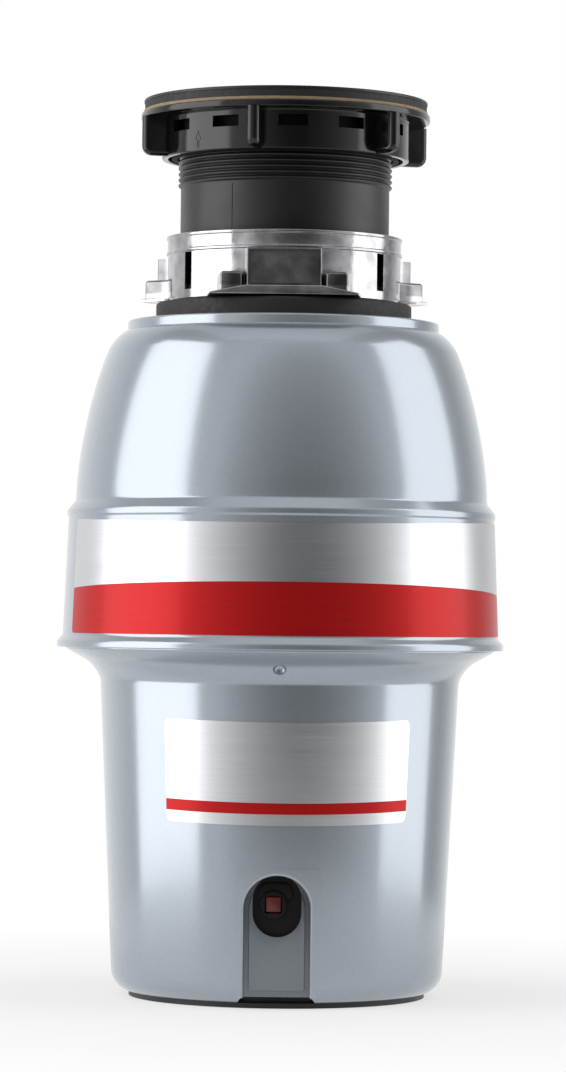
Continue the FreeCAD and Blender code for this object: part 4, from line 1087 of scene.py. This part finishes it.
class DISPOSAL_OT_gaskets(bpy.types.Operator):
    """Fibre and rubber gaskets, base cover and cord bush"""

    bl_idname = "disposal.gaskets"
    bl_label = "Gaskets and base"

    def execute(self, context):
        dress(fibre_board(), "fiber_gasket")
        dress(rubber("gasket_rubber"), "sink_gasket", "splash_guard", "cord_inlet_bush")
        dress(moulded_black("base_black", 0.4, 0.55), "base_cover")
        return {"FINISHED"}


# ------------------------------------------------------------------ inside


class DISPOSAL_OT_inside(bpy.types.Operator):
    """Finishes of the grinding set, the drain chamber and the motor"""

    bl_idname = "disposal.inside"
    bl_label = "Inside"

    def execute(self, context):
        steel = brushed("stainless", (0.62, 0.62, 0.63), 0.22, 0.34, across=900.0, along=60.0)
        dress(steel, "flange_trim", "grind_ring", "turntable", "impeller_left", "impeller_right",
              "impeller_pins", "turntable_nut", "turntable_washer", "shaft", "thrust_washer")
        dress(moulded_black("chamber_black", 0.4, 0.55), "hopper", "drain_chamber", "rectifier")
        dress(rubber("seal_rubber"), "chamber_seal", "shaft_seal", "water_slinger")
        plated = cast_metal("zinc_plate", (0.60, 0.60, 0.57), 0.3, 0.45)
        dress(plated, "base_screws", "hopper_screws", "through_bolts", "motor_can")
        dress(cast_metal("cast_frame", (0.60, 0.61, 0.62), 0.4, 0.6), "upper_end_frame", "lower_end_frame")
        bronze = cast_metal("sintered_bronze", (0.50, 0.33, 0.16), 0.4, 0.55, grain=900.0)
        dress(bronze, "upper_bearing", "lower_bearing")
        brass = cast_metal("pressed_brass", (0.70, 0.52, 0.22), 0.22, 0.34)
        dress(brass, "brush_holders", "brush_springs", "ground_screw")
        dress(wound_copper(), "windings")
        copper = brushed("bar_copper", (0.65, 0.33, 0.18), 0.25, 0.4, across=1200.0, along=60.0)
        dress(copper, "commutator")
        dress(laminated_steel(), "armature_core")
        ferrite = cast_metal("ferrite", (0.07, 0.07, 0.075), 0.6, 0.75, metallic=0.0, grain=500.0)
        dress(ferrite, "magnets")
        carbon = cast_metal("carbon", (0.035, 0.035, 0.037), 0.55, 0.7, metallic=0.0, grain=800.0)
        dress(carbon, "brushes")
        return {"FINISHED"}


# ------------------------------------------------------------------ panel and registration


OPERATORS = (
    DISPOSAL_OT_stage,
    DISPOSAL_OT_inside,
    DISPOSAL_OT_upper_shell,
    DISPOSAL_OT_lower_shell,
    DISPOSAL_OT_switch,
    DISPOSAL_OT_labels,
    DISPOSAL_OT_cushion,
    DISPOSAL_OT_mounting_ring,
    DISPOSAL_OT_sink_flange,
    DISPOSAL_OT_mounting_nut,
    DISPOSAL_OT_gaskets,
)
SETTINGS = {
    "stage": StageSettings,
    "casing": CasingSettings,
    "label": LabelSettings,
    "mounting": MountingSettings,
}


class DISPOSAL_PT_pieces(bpy.types.Panel):
    """Lists the settings and the pieces of the disposal"""

    bl_idname = "DISPOSAL_PT_pieces"
    bl_label = "Garbage disposal"
    bl_space_type = "VIEW_3D"
    bl_region_type = "UI"
    bl_category = "Disposal"

    def draw(self, context):
        for name, kind in SETTINGS.items():
            box = self.layout.box()
            box.label(text=name.capitalize())
            for entry in kind.__annotations__:
                box.prop(settings(name), entry)
        for operator in OPERATORS:
            self.layout.operator(operator.bl_idname)


def register():
    for kind in (*SETTINGS.values(), *OPERATORS, DISPOSAL_PT_pieces):
        bpy.utils.register_class(kind)
    for name, kind in SETTINGS.items():
        setattr(bpy.types.Scene, "disposal_" + name, bpy.props.PointerProperty(type=kind))


def unregister():
    for name in SETTINGS:
        delattr(bpy.types.Scene, "disposal_" + name)
    for kind in reversed((*SETTINGS.values(), *OPERATORS, DISPOSAL_PT_pieces)):
        bpy.utils.unregister_class(kind)


def main():
    register()
    bpy.ops.disposal.stage()
    bpy.ops.disposal.inside()
    bpy.ops.disposal.upper_shell()
    bpy.ops.disposal.lower_shell()
    bpy.ops.disposal.switch()
    bpy.ops.disposal.labels()
    bpy.ops.disposal.cushion()
    bpy.ops.disposal.mounting_ring()
    bpy.ops.disposal.sink_flange()
    bpy.ops.disposal.mounting_nut()
    bpy.ops.disposal.gaskets()


if __name__ == "__main__":
    main()
